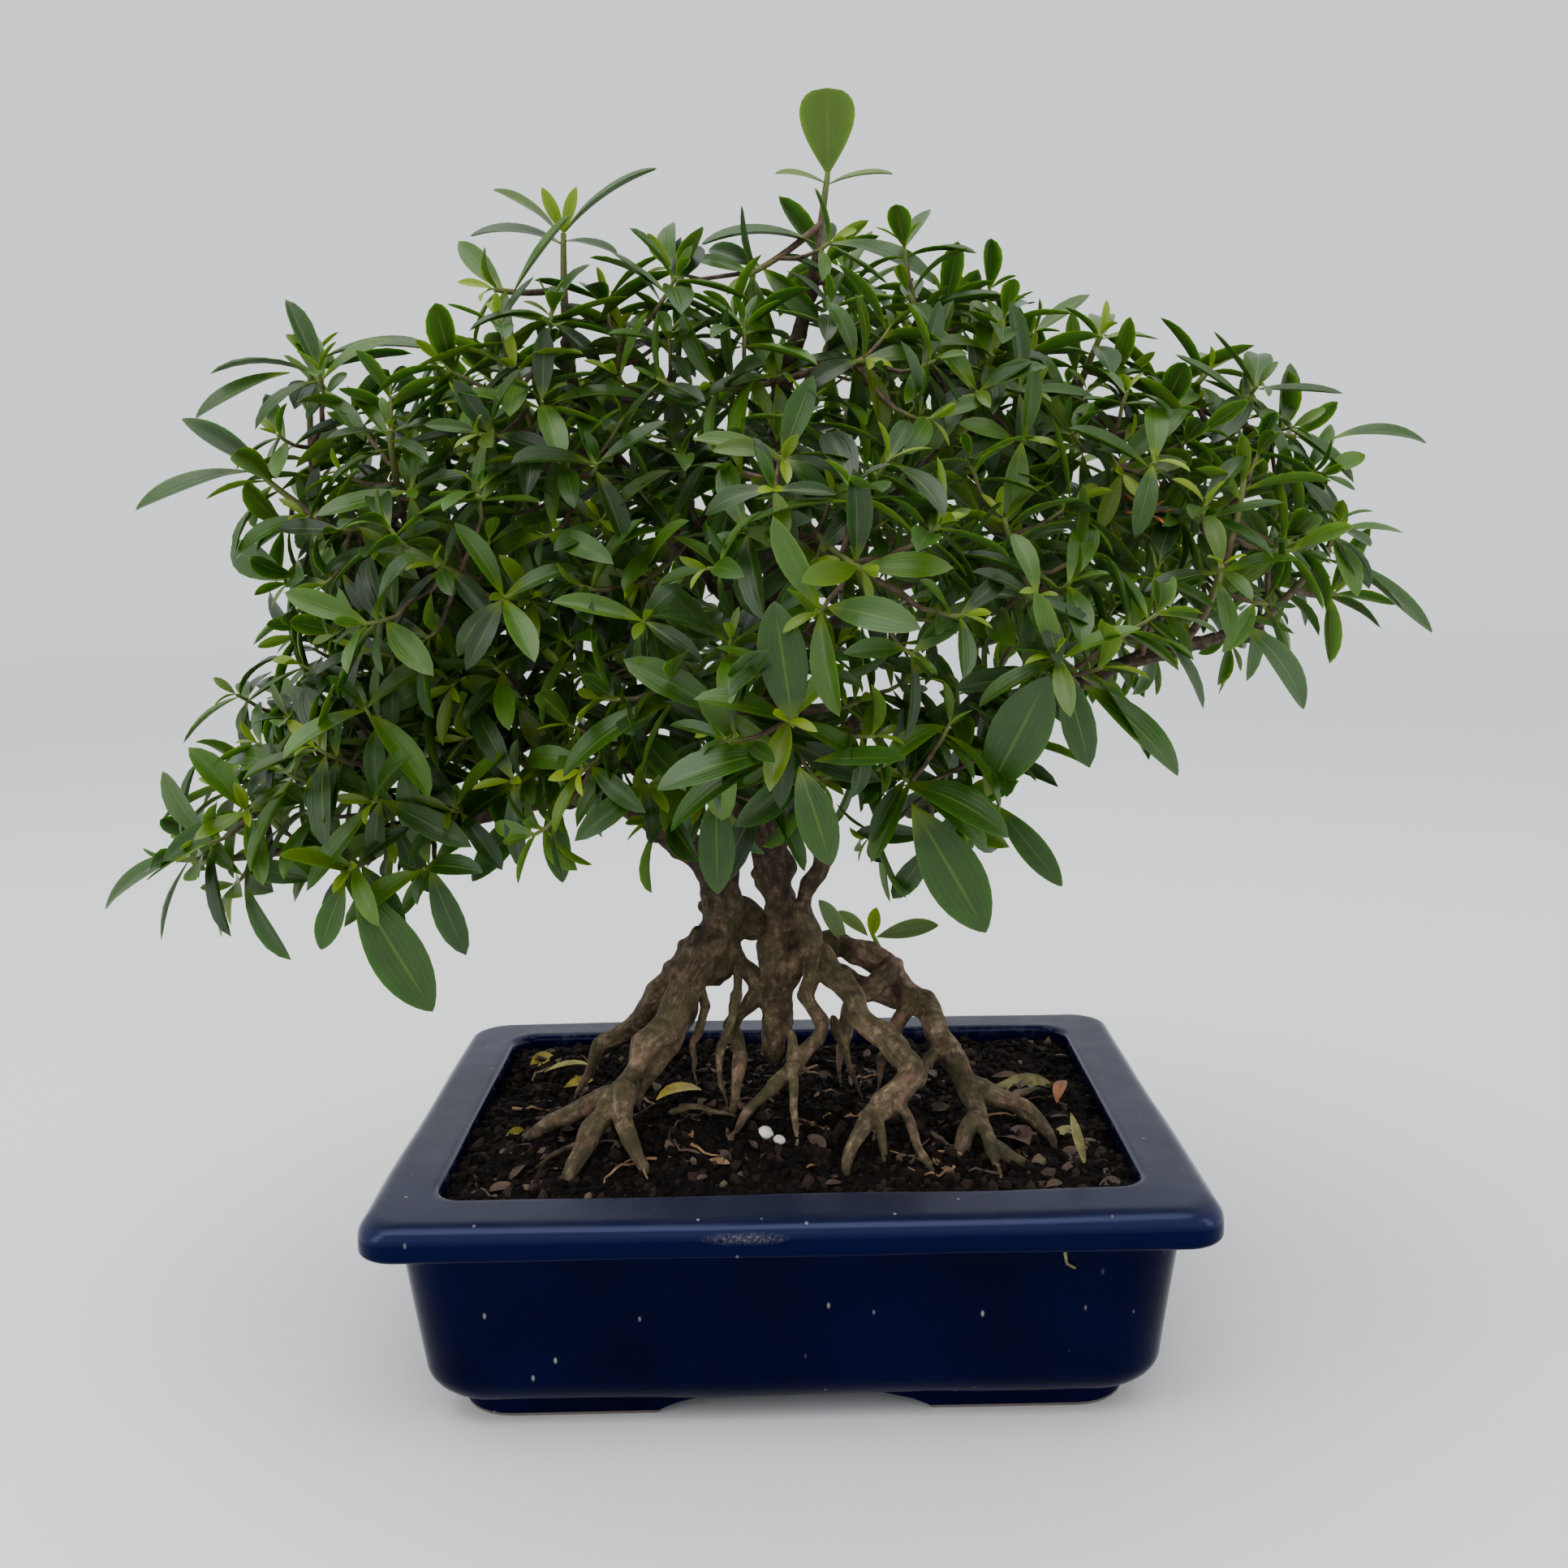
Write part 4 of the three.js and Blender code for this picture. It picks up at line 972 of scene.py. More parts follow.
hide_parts("trunk_and_roots", *(f"{name}_limb" for name in limb_routes))

# %% [markdown]
# ## Leaves
# The leaves are narrow, smooth-edged and widest past the middle, folded along a pale midrib
# and curved back a little at the tip. One function makes the blade as a thin closed shell, a unit
# long, in several bends: 64 faces for the many, more for the few that stand out on their own. Its
# UV runs across and along, for the midrib and veins.

# %% One leaf blade
MANY_ROWS = (0.06, 0.17, 0.3, 0.45, 0.6, 0.76, 0.9)
MANY_COLUMNS = (-1, -0.5, 0, 0.5, 1)
FINE_ROWS = (0.03, 0.08, 0.15, 0.23, 0.32, 0.41, 0.5, 0.59, 0.68, 0.77, 0.85, 0.92, 0.97)
FINE_COLUMNS = (-1, -0.75, -0.4, 0, 0.4, 0.75, 1)


def blade_width(t, tip):
    """Half the blade's width at a share of its length, as a share of the widest. A low tip is rounder."""
    widest_at = 1.1 / (1.1 + tip)
    return (t / widest_at) ** 1.1 * ((1 - t) / (1 - widest_at)) ** tip


def blade_mesh(name, bend, fold, twist=0.0, wave=0.0, fine=False, tip=0.82, half_width=0.15, thickness=0.014):
    """A leaf one unit long along +Y with its upper face to +Z, bent back by bend radians."""

    def surface(t, u, side):
        turned = twist * t
        angle = bend * t
        if abs(bend) > 1e-3:
            y, z = math.sin(angle) / bend, (math.cos(angle) - 1) / bend
        else:
            y, z = t, 0.0
        out = u * half_width * max(blade_width(t, tip), 0.06)
        rise = fold * abs(out) + wave * math.sin(9 * t) * abs(u) * half_width
        across = Vector((math.cos(turned), 0, math.sin(turned)))
        face = Vector((-math.sin(turned), math.sin(angle), math.cos(angle) * math.cos(turned)))
        lift = thickness / 2 * side * (1 - u * u) * (1.5 if side < 0 and u == 0 else 1)
        return Vector((0, y, z)) + across * out + face * (rise + lift)

    points, uvs, faces, sides = [surface(0, 0, 0)], [(0.5, 0.0)], [], []
    rows = []
    columns = FINE_COLUMNS if fine else MANY_COLUMNS
    for t in FINE_ROWS if fine else MANY_ROWS:
        top_row, under_row = [], []
        for u in columns:
            points.append(surface(t, u, 1 if abs(u) < 1 else 0))
            uvs.append((0.5 + u / 2, t))
            top_row.append(len(points) - 1)
            if abs(u) == 1:
                under_row.append(len(points) - 1)
                continue
            points.append(surface(t, u, -1))
            uvs.append((0.5 + u / 2, t))
            under_row.append(len(points) - 1)
        rows.append((top_row, under_row))
    points.append(surface(1, 0, 0))
    uvs.append((0.5, 1.0))
    end = len(points) - 1
    for side in (0, 1):
        for column in range(len(columns) - 1):
            first, last = rows[0][side], rows[-1][side]
            strips = [(0, first[column + 1], first[column])]
            for lower, upper in zip(rows, rows[1:]):
                a, b = lower[side], upper[side]
                strips.append((a[column], a[column + 1], b[column + 1], b[column]))
            strips.append((last[column], last[column + 1], end))
            for strip in strips:
                faces.append(strip if side == 0 else strip[::-1])
                sides.append(1.0 + side)
    mesh = add_mesh(name, points, faces)
    layer = mesh.uv_layers.new(name="UVMap")
    for loop in mesh.loops:
        layer.data[loop.index].uv = uvs[loop.vertex_index]
    face_side = mesh.attributes.new("leaf_side", "FLOAT", "FACE")
    face_side.data.foreach_set("value", sides)
    for face in mesh.polygons:
        face.use_smooth = True
    mesh.set_sharp_from_angle(angle=math.radians(75))
    return mesh


blade_bends = [(0.1, 0.35, 0.0, 0.0), (0.35, 0.5, 0.25, 0.02), (0.6, 0.4, -0.3, 0.0), (0.25, 0.6, -0.15, 0.03),
               (0.9, 0.35, 0.3, 0.02), (0.45, 0.3, 0.0, -0.03)]
fine_bends = [(0.15, 0.25, 0.0, 0.01), (0.5, 0.3, 0.15, 0.02), (0.8, 0.3, -0.15, 0.01)]
blades = [blade_mesh(f"blade_{i}", *bends) for i, bends in enumerate(blade_bends)]
blades += [blade_mesh(f"blade_{i + 6}", *bends, fine=True) for i, bends in enumerate(fine_bends)]
blades.append(blade_mesh("blade_9", 0.1, 0.2, fine=True, tip=0.42))
print("faces in a blade:", [len(blade.polygons) for blade in blades])

# %% Leaf materials


def leaf_material(name, dark, middle, bright, young, rib, roughness, gloss):
    """A waxy leaf face. The age attribute turns it from dark to young, the tint attribute varies it."""
    material, tree, shader = new_material(name)
    uv = node(tree, "ShaderNodeUVMap", uv_map="UVMap").outputs["UV"]
    where = node(tree, "ShaderNodeTexCoord").outputs["Object"]
    part = node(tree, "ShaderNodeSeparateXYZ", {"Vector": uv})
    age = node(tree, "ShaderNodeAttribute", attribute_name="age").outputs["Fac"]
    tint = node(tree, "ShaderNodeAttribute", attribute_name="tint").outputs["Fac"]
    green = ramp(tree, tint, [(0.0, dark), (0.55, middle), (1.0, bright)])
    mottle = ramp(tree, noise_at(tree, where, 5, 4), [(0.3, 0.82), (0.7, 1.12)])
    green = mix(tree, 1.0, green, mottle, "MULTIPLY")
    pale_base = ramp(tree, part.outputs["Y"], [(0.0, 0.55), (0.25, 0.0)])
    freshness = math_node(tree, "MAXIMUM", ramp(tree, age, [(0.3, 0.0), (1.0, 1.0)]), pale_base)
    colour = mix(tree, freshness, green, linear(young))
    off_rib = math_node(tree, "ABSOLUTE", math_node(tree, "SUBTRACT", part.outputs["X"], 0.5))
    rib_line = ramp(tree, off_rib, [(0.015, 1.0), (0.045, 0.0)])
    fade = ramp(tree, part.outputs["Y"], [(0.0, 1.0), (0.7, 0.6), (0.95, 0.0)])
    colour = mix(tree, math_node(tree, "MULTIPLY", math_node(tree, "MULTIPLY", rib_line, fade), 0.6),
                 colour, linear(rib))
    veins = math_node(tree, "PINGPONG", math_node(tree, "MULTIPLY", off_rib, 8.0), 0.5)
    vein_line = ramp(tree, veins, [(0.0, 1.0), (0.16, 0.0)])
    colour = mix(tree, math_node(tree, "MULTIPLY", vein_line, 0.12), colour, linear(rib))
    tree.links.new(colour, shader.inputs["Base Color"])
    shader.inputs["Roughness"].default_value = roughness
    shader.inputs["IOR"].default_value = 1.46
    shader.inputs["Specular IOR Level"].default_value = gloss
    shader.inputs["Subsurface Weight"].default_value = 0.12
    shader.inputs["Subsurface Radius"].default_value = (0.4, 1.0, 0.1)
    shader.inputs["Subsurface Scale"].default_value = 1.2 * MM
    height = math_node(tree, "ADD", math_node(tree, "MULTIPLY", vein_line, -0.5),
                       math_node(tree, "MULTIPLY", noise_at(tree, where, 1.5, 3), 0.5))
    bump = node(tree, "ShaderNodeBump", {"Height": height, "Strength": 0.25, "Distance": 0.3 * MM})
    tree.links.new(bump.outputs["Normal"], shader.inputs["Normal"])
    return material


leaf_top = leaf_material("waxy_leaf_upper_face", "#0f2402", "#254406", "#3d5e0d", "#7e9510", "#56701f", 0.36, 0.42)
leaf_under = leaf_material("matt_leaf_underside", "#253f0d", "#3b5915", "#506e1d", "#87a024", "#768f43", 0.6, 0.2)

twig_skin, tree, shader = new_material("green_brown_twig_skin")
where = node(tree, "ShaderNodeTexCoord").outputs["Object"]
age = node(tree, "ShaderNodeAttribute", attribute_name="age").outputs["Fac"]
old = ramp(tree, noise_at(tree, where, 2.5, 5, 0.65), [(0.35, "#2c2014"), (0.7, "#655037")])
colour = mix(tree, ramp(tree, age, [(0.35, 0.0), (1.0, 1.0)]), old, linear("#6f8a2c"))
tree.links.new(colour, shader.inputs["Base Color"])
shader.inputs["Roughness"].default_value = 0.7
bump = node(tree, "ShaderNodeBump", {"Height": noise_at(tree, where, 1.2, 4), "Strength": 0.5,
                                     "Distance": 0.4 * MM})
tree.links.new(bump.outputs["Normal"], shader.inputs["Normal"])

# %% [markdown]
# ## Leafy shoots
# Each shoot leaves its limb part of the way along and ends in one or more leafy tips. Around each
# tip the twig forks into short side twigs, and every twig carries crossed pairs of leaves that crowd
# into a rosette. Python draws the twigs as edges and the leaves as single points that know their
# turn, size and age. Geometry Nodes then give the edges a round skin and put a blade on each point.

# %% Where the shoots go: (share along the limb, tips)
shoots = {
    "low_left": [
        (0.98, [(-150, -34, 80), (-140, -8, 98), (-128, -46, 94)]),
        (0.8, [(-103, -48, 80), (-98, -30, 108)]),
        (0.86, [(-124, 30, 94), (-132, 4, 114), (-112, 18, 126)]),
        (0.5, [(-74, -28, 100), (-52, -36, 108)]),
        (0.62, [(-72, -14, 122), (-100, -8, 126)]),
    ],
    "upper_left": [
        (0.98, [(-132, -8, 174), (-120, -4, 204)]),
        (0.85, [(-92, -38, 184), (-106, -34, 160)]),
        (0.7, [(-108, 24, 164)]),
        (0.6, [(-78, -56, 152), (-84, -28, 130)]),
        (0.4, [(-50, -44, 176), (-62, -34, 198)]),
        (0.5, [(-64, -36, 118), (-40, -14, 108)]),
    ],
    "top_left": [
        (0.98, [(-54, 0, 236), (-70, -14, 220)]),
        (0.7, [(-38, -20, 208), (-24, -24, 190)]),
        (0.6, [(-80, 24, 202), (-72, 34, 180)]),
    ],
    "centre": [
        (0.98, [(15, 0, 250), (-6, -16, 222)]),
        (0.6, [(22, -38, 198), (-14, -42, 192)]),
        (0.35, [(2, -68, 174), (18, -84, 150)]),
        (0.25, [(-22, -26, 166), (-32, -50, 146)]),
    ],
    "upper_right": [
        (0.5, [(46, 18, 220), (68, 22, 206)]),
        (0.4, [(54, -26, 200), (34, -20, 216)]),
        (0.98, [(116, 8, 198), (140, 10, 180)]),
        (0.75, [(84, -8, 206), (84, -34, 170)]),
    ],
    "right": [
        (0.75, [(102, -56, 148), (114, -32, 168)]),
        (0.98, [(144, -6, 150), (148, 2, 138)]),
        (0.5, [(60, -80, 130), (52, -56, 160)]),
        (0.25, [(42, -44, 88), (28, -66, 102)]),
        (0.35, [(44, -6, 142), (66, -10, 134)]),
    ],
    "front": [
        (0.98, [(2, -84, 118), (-26, -66, 126)]),
        (0.5, [(-18, -50, 96)]),
        (0.3, [(-36, -44, 126), (-46, -58, 104)]),
    ],
    "rear_left": [
        (0.98, [(-62, 96, 130), (-88, 68, 158)]),
        (0.6, [(-44, 72, 152), (-18, 60, 120)]),
    ],
    "rear_right": [
        (0.98, [(100, 62, 152), (78, 92, 126)]),
        (0.6, [(48, 70, 172)]),
        (0.8, [(110, 44, 122), (124, 34, 146)]),
    ],
    "rear": [
        (0.98, [(6, 98, 160), (12, 108, 126)]),
        (0.6, [(-28, 84, 188)]),
        (0.35, [(26, 60, 206)]),
    ],
}

# %% Geometry Nodes: round twigs and leaves on points
shoot_tree = new_geometry_tree("leafy_shoot")
add_input(shoot_tree, "Blades", "NodeSocketCollection")
add_input(shoot_tree, "Twig Sides", "NodeSocketInt", 7)
add_input(shoot_tree, "Twig Skin", "NodeSocketMaterial")
add_input(shoot_tree, "Leaf Top", "NodeSocketMaterial")
add_input(shoot_tree, "Leaf Underside", "NodeSocketMaterial")
start = shoot_tree.nodes.new("NodeGroupInput")


def named(tree, kind, name):
    """The output of a Named Attribute node of a kind."""
    made = node(tree, "GeometryNodeInputNamedAttribute", {"Name": name}, data_type=kind)
    return made.outputs["Attribute"]


parts = node(shoot_tree, "GeometryNodeSeparateGeometry", {
    "Geometry": start.outputs["Geometry"], "Selection": named(shoot_tree, "BOOLEAN", "is_leaf")}, domain="POINT")
leaf_points = node(shoot_tree, "GeometryNodeMeshToPoints", {"Mesh": parts.outputs["Selection"]})
kinds = node(shoot_tree, "GeometryNodeCollectionInfo", {
    "Collection": start.outputs["Blades"], "Separate Children": True, "Reset Children": True})
leaves = node(shoot_tree, "GeometryNodeInstanceOnPoints", {
    "Points": leaf_points.outputs["Points"], "Instance": kinds.outputs[0], "Pick Instance": True,
    "Instance Index": named(shoot_tree, "INT", "kind"), "Rotation": named(shoot_tree, "QUATERNION", "turn"),
    "Scale": named(shoot_tree, "FLOAT_VECTOR", "blade_size")})
twig_lines = node(shoot_tree, "GeometryNodeMeshToCurve", {"Mesh": parts.outputs["Inverted"]})
thick_lines = node(shoot_tree, "GeometryNodeSetCurveRadius", {
    "Curve": twig_lines.outputs["Curve"], "Radius": named(shoot_tree, "FLOAT", "thickness")})
section = node(shoot_tree, "GeometryNodeCurvePrimitiveCircle", {
    "Resolution": start.outputs["Twig Sides"], "Radius": 1.0})
skin = node(shoot_tree, "GeometryNodeCurveToMesh", {
    "Curve": thick_lines.outputs["Curve"], "Profile Curve": section.outputs["Curve"], "Fill Caps": True})
if "Scale" in skin.inputs:
    shoot_tree.links.new(named(shoot_tree, "FLOAT", "thickness"), skin.inputs["Scale"])
both = node(shoot_tree, "GeometryNodeJoinGeometry")
shoot_tree.links.new(skin.outputs["Mesh"], both.inputs["Geometry"])
shoot_tree.links.new(leaves.outputs["Instances"], both.inputs["Geometry"])
real = node(shoot_tree, "GeometryNodeRealizeInstances", {"Geometry": both.outputs["Geometry"]})
leaf_side = named(shoot_tree, "FLOAT", "leaf_side")
last = real.outputs["Geometry"]
for limit, label in ((-1.0, "Twig Skin"), (0.5, "Leaf Top"), (1.5, "Leaf Underside")):
    chosen = node(shoot_tree, "FunctionNodeCompare", {0: leaf_side, 1: limit}, data_type="FLOAT",
                  operation="GREATER_THAN").outputs[0]
    last = node(shoot_tree, "GeometryNodeSetMaterial", {
        "Geometry": last, "Selection": chosen, "Material": start.outputs[label]}).outputs["Geometry"]
node(shoot_tree, "NodeGroupOutput", {"Geometry": last})


# %% Draw twigs and leaf points
UP = Vector((0, 0, 1))


class Sketch:
    """The points and edges of one shoot, with what each point knows."""

    def __init__(self):
        self.points, self.edges = [], []
        self.facts = {"is_leaf": [], "thickness": [], "turn": [], "blade_size": [], "kind": [], "age": [], "tint": []}

    def add_point(self, where, **facts):
        self.points.append(place(*where))
        plain = {"is_leaf": False, "thickness": 0.0, "turn": Quaternion(), "blade_size": (1, 1, 1),
                 "kind": 0, "age": 0.0, "tint": 0.5}
        for name, value in {**plain, **facts}.items():
            self.facts[name].append(value)
        return len(self.points) - 1

    def add_twig(self, line, thick, thin, old, young):
        count = len(line) - 1
        before = None
        for i, point in enumerate(line):
            share = i / count
            here = self.add_point(point, thickness=(thick + (thin - thick) * share) * MM,
                                  age=old + (young - old) * share)
            if before is not None:
                self.edges.append((before, here))
            before = here

    def add_leaf(self, base, along, face, length, width, kind, age, tint):
        along = along.normalized()
        across = along.cross(face).normalized()
        face = across.cross(along)
        turn = Matrix((across, along, face)).transposed().to_quaternion()
        size = (width * length * MM, length * MM, length * MM)
        self.add_point(base, is_leaf=True, turn=turn, blade_size=size, kind=kind, age=age, tint=tint)

    def to_object(self, name):
        mesh = bpy.data.meshes.new(name)
        mesh.from_pydata([tuple(p) for p in self.points], self.edges, [])
        kinds = {"is_leaf": "BOOLEAN", "thickness": "FLOAT", "turn": "QUATERNION", "blade_size": "FLOAT_VECTOR",
                 "kind": "INT", "age": "FLOAT", "tint": "FLOAT"}
        for label, kind in kinds.items():
            attribute = mesh.attributes.new(label, kind, "POINT")
            values = self.facts[label]
            if kind in ("QUATERNION", "FLOAT_VECTOR"):
                values = [number for value in values for number in value]
            attribute.data.foreach_set("vector" if kind == "FLOAT_VECTOR" else "value", values)
        return add_object(name, mesh)


def bent_line(start, end, bow, steps):
    """A line from start to end, bowed at its middle."""
    middle = start.lerp(end, 0.5) + bow
    line = []
    for i in range(steps + 1):
        t = i / steps
        line.append(start * (1 - t) ** 2 + middle * (2 * t * (1 - t)) + end * t ** 2)
    return line


def add_pair(sketch, chance, base, stem, out, opening, length, age, width=1.0):
    """Two leaves on opposite sides of a stem."""
    for side in (1, -1):
        swing = math.radians(opening + chance.uniform(-14, 14))
        sideways = (out * side).copy()
        sideways.rotate(Quaternion(stem, math.radians(chance.uniform(-16, 16))))
        along = stem * math.cos(swing) + sideways * math.sin(swing)
        along.z -= 0.06 * chance.random()
        face = stem * math.sin(swing) - sideways * math.cos(swing) + UP * 0.95
        long = length * chance.uniform(0.84, 1.16)
        kind = chance.randrange(len(blade_bends))
        old = min(1.0, max(0.0, age + chance.uniform(-0.12, 0.12)))
        sketch.add_leaf(base, along, face, long, width * chance.uniform(0.8, 1.12), kind, old, chance.random())


def add_rosette(sketch, chance, line, pairs, length, freshness):
    """Crossed pairs of leaves crowding towards the end of a twig."""
    tip = line[-1]
    stem = (line[-1] - line[-2]).normalized()
    out = stem.cross(UP)
    if out.length < 0.2:
        out = Vector((1, 0, 0))
    out = (out - stem * out.dot(stem)).normalized()
    out.rotate(Quaternion(stem, chance.uniform(0, math.pi)))
    below = 0.0
    for pair in range(pairs):
        share = pair / max(pairs - 1, 1)
        opening = 26 + 62 * share ** 0.7
        size = length * (0.42 + 0.58 * min(1, share * 2.1)) if pairs > 1 else length
        age = freshness * (1 - share) ** 1.6
        base = tip - stem * below
        add_pair(sketch, chance, base, stem, out, opening, size, age)
        below += 1.1 + 2.0 * share
        out = stem.cross(out).normalized()


CROWN_MIDDLE = Vector((0, 0, soil_level + 135))


def direction_out(tip, chance):
    """Out of the crown and up, with some chance in it."""
    out = (tip - CROWN_MIDDLE).normalized()
    loose = Vector([chance.uniform(-1, 1) for _ in range(3)])
    return (out * 0.65 + UP * 0.75 + loose * 0.5).normalized()


def draw_main_twigs(sketch, chance, start, tips):
    """The twigs that carry a shoot's named tips. Each leaves the one before half way along."""
    lines = []
    from_point, thick = start, 1.35
    for tip in tips:
        reach = (tip - from_point).length
        bow = Vector((chance.uniform(-0.1, 0.1), chance.uniform(-0.1, 0.1), -0.1)) * reach
        line = bent_line(from_point, tip, bow, max(6, int(reach / 4)))
        sketch.add_twig(line, thick, 0.75, 0.0, 0.7)
        lines.append(line)
        from_point, thick = line[len(line) // 2], 1.0
    return lines


def draw_side_twig(sketch, chance, root, tip):
    """A thin twig that ends in a rosette, turning outward and up as it goes."""
    reach = (tip - root).length
    heading = direction_out(tip, chance)
    middle = tip - heading * reach * 0.5
    bow = (middle - root.lerp(tip, 0.5)) * 0.45
    line = bent_line(root, tip, bow, max(4, int(reach / 4)))
    line = [p + Vector([chance.uniform(-0.5, 0.5) for _ in range(3)]) for p in line[:-2]] + line[-2:]
    line[0] = root
    sketch.add_twig(line, 0.85 if reach > 25 else 0.65, 0.45, 0.0, 0.75)
    add_rosette(sketch, chance, line, chance.choice((3, 3, 4)), chance.uniform(15, 24), chance.uniform(0.0, 0.8))
    if reach > 18:
        place_at = len(line) * 2 // 3
        stem = (line[place_at] - line[place_at - 1]).normalized()
        out = stem.cross(Vector((chance.uniform(-1, 1), chance.uniform(-1, 1), 0.3))).normalized()
        add_pair(sketch, chance, line[place_at], stem, out, 70, chance.uniform(11, 18), 0.05)


# %% Single leaves that stand out of the crown: (shoot, base, tip, width, bend, age)
lone_leaves = [
    ("front_1", (3, -84, 116), (0, -90, 142), 1.25, 1, 0.1),
    ("front_1", (1, -86, 111), (-24, -99, 112), 1.15, 1, 0.15),
    ("front_1", (0, -84, 110), (-26, -92, 104), 1.0, 2, 0.2),
    ("front_1", (4, -84, 108), (10, -98, 92), 1.25, 2, 0.3),
    ("front_1", (7, -84, 109), (25, -95, 112), 1.2, 0, 0.25),
    ("front_2", (-15, -60, 99), (-15, -66, 77), 1.2, 0, 0.1),
    ("front_1", (-24, -66, 120), (-49, -80, 115), 1.0, 2, 0.1),
    ("right_4", (29, -70, 97), (44, -80, 71), 1.35, 0, 0.15),
    ("right_4", (27, -70, 101), (49, -84, 100), 1.3, 2, 0.1),
    ("right_4", (46, -66, 97), (57, -82, 124), 1.25, 0, 0.1),
    ("low_left_2", (-102, -50, 77), (-84, -56, 48), 1.2, 0, 0.05),
    ("low_left_2", (-104, -50, 77), (-109, -58, 64), 1.3, 1, 0.1),
    ("low_left_2", (-103, -50, 79), (-113, -60, 89), 1.2, 1, 0.5),
    ("low_left_1", (-146, -36, 82), (-168, -44, 77), 1.1, 2, 0.1),
    ("centre_1", (15, 0, 249), (15, -6, 269), 2.2, 3, 0.45),
    ("centre_1", (15, 0, 247), (3, -6, 252), 1.2, 1, 0.5),
    ("centre_1", (15, 0, 247), (30, -6, 252), 1.2, 1, 0.5),
    ("centre_1", (12, -4, 231), (-14, -16, 241), 1.0, 2, 0.1),
    ("centre_1", (14, -4, 231), (42, -16, 230), 1.0, 2, 0.2),
    ("top_left_1", (-54, 0, 236), (-34, -10, 255), 1.1, 1, 0.2),
    ("top_left_1", (-55, 0, 236), (-67, -8, 249), 1.3, 1, 0.4),
    ("top_left_1", (-54, 0, 233), (-74, -8, 243), 1.3, 2, 0.0),
    ("top_left_1", (-54, 0, 234), (-40, -8, 233), 1.2, 1, 0.2),
    ("top_left_1", (-54, 0, 236), (-58, -6, 246), 0.9, 0, 0.9),
    ("top_left_1", (-54, 0, 236), (-50, -6, 246), 0.9, 0, 0.9),
    ("upper_left_1", (-132, -8, 176), (-149, -14, 190), 1.5, 0, 0.25),
    ("right_2", (150, -4, 147), (169, -12, 130), 1.0, 0, 0.1),
    ("upper_right_3", (148, 6, 179), (171, 0, 186), 0.9, 2, 0.2),
    ("right_1", (109, -46, 134), (127, -56, 120), 1.2, 2, 0.1),
    ("right_3", (67, -72, 123), (86, -88, 110), 1.1, 1, 0.1),
    ("right_4", (50, -50, 93), (64, -60, 76), 0.9, 0, 0.1),
    ("upper_left_1", (-136, -8, 176), (-163, -18, 173), 1.0, 1, 0.1),
    ("upper_left_1", (-124, -8, 201), (-147, -18, 195), 1.0, 1, 0.1),
    ("upper_left_1", (-116, -6, 205), (-89, -18, 212), 1.0, 1, 0.2),
    ("low_left_4", (-62, -28, 92), (-76, -38, 75), 1.0, 0, 0.1),
    ("low_left_4", (-58, -28, 92), (-55, -34, 73), 1.1, 0, 0.1),
]

# %% Tips that fill the crown between the named ones
TIP_SPACING = 12.8
BARE_TIPS = {(15, 0, 250), (-54, 0, 236)}
CLEARINGS = [((15, 0, 250), 26), ((-54, 0, 236), 24), ((-98, -6, 214), 27), ((-84, 10, 222), 24),
             ((-14, 0, 238), 20), ((40, 4, 236), 20), ((86, 6, 224), 22), ((116, 8, 214), 16), ((144, 6, 200), 20),
             ((-158, -10, 100), 16), ((-74, -10, 74), 18), ((36, -30, 78), 16), ((134, -10, 104), 18)]
crown_chance = random.Random(11)
named_tips = [over_soil(tip) for limb_shoots in shoots.values() for _, tips in limb_shoots for tip in tips]
clearings = [(over_soil(centre), radius) for centre, radius in CLEARINGS]
fill_tips = []
taken = np.array([list(tip) for tip in named_tips])
for attempt in range(24000):
    first, second = crown_chance.sample(named_tips, 2)
    if (first - second).length > 82:
        continue
    candidate = first.lerp(second, crown_chance.random())
    candidate += Vector([crown_chance.uniform(-8, 8) for _ in range(3)])
    inner = Vector((candidate.x / 150, candidate.y / 110, (candidate.z - CROWN_MIDDLE.z) / 90)).length
    if inner < 0.5 and crown_chance.random() < 0.9:
        continue
    if any((candidate - centre).length < radius for centre, radius in clearings):
        continue
    if np.min(np.linalg.norm(taken - np.array(candidate), axis=1)) < TIP_SPACING:
        continue
    taken = np.vstack([taken, candidate])
    fill_tips.append(candidate)
print("tips that fill the crown:", len(fill_tips))

# %% Grow every shoot
blade_kinds = lump_collection("blade_kinds", blades)
shoot_materials = {"Blades": blade_kinds, "Twig Skin": twig_skin, "Leaf Top": leaf_top, "Leaf Underside": leaf_under}
sketches = {}
holds = []
for limb, limb_shoots in shoots.items():
    samples = [sample[0] for sample in smooth_route(limb_routes[limb])]
    for number, (share, tips) in enumerate(limb_shoots, start=1):
        name = f"{limb}_{number}"
        sketch = sketches[name] = Sketch()
        middle = int(share * (len(samples) - 1))
        lines = draw_main_twigs(sketch, crown_chance, samples[middle], [over_soil(tip) for tip in tips])
        for line, tip in zip(lines, tips):
            if tip not in BARE_TIPS:
                add_rosette(sketch, crown_chance, line, 4, crown_chance.uniform(19, 24), crown_chance.uniform(0.4, 1.0))
        nearby = samples[max(0, middle - 14):middle + 14:3]
        holds += [(point, name) for line in lines for point in line[1:-1]]
        holds += [(point, name) for point in nearby]

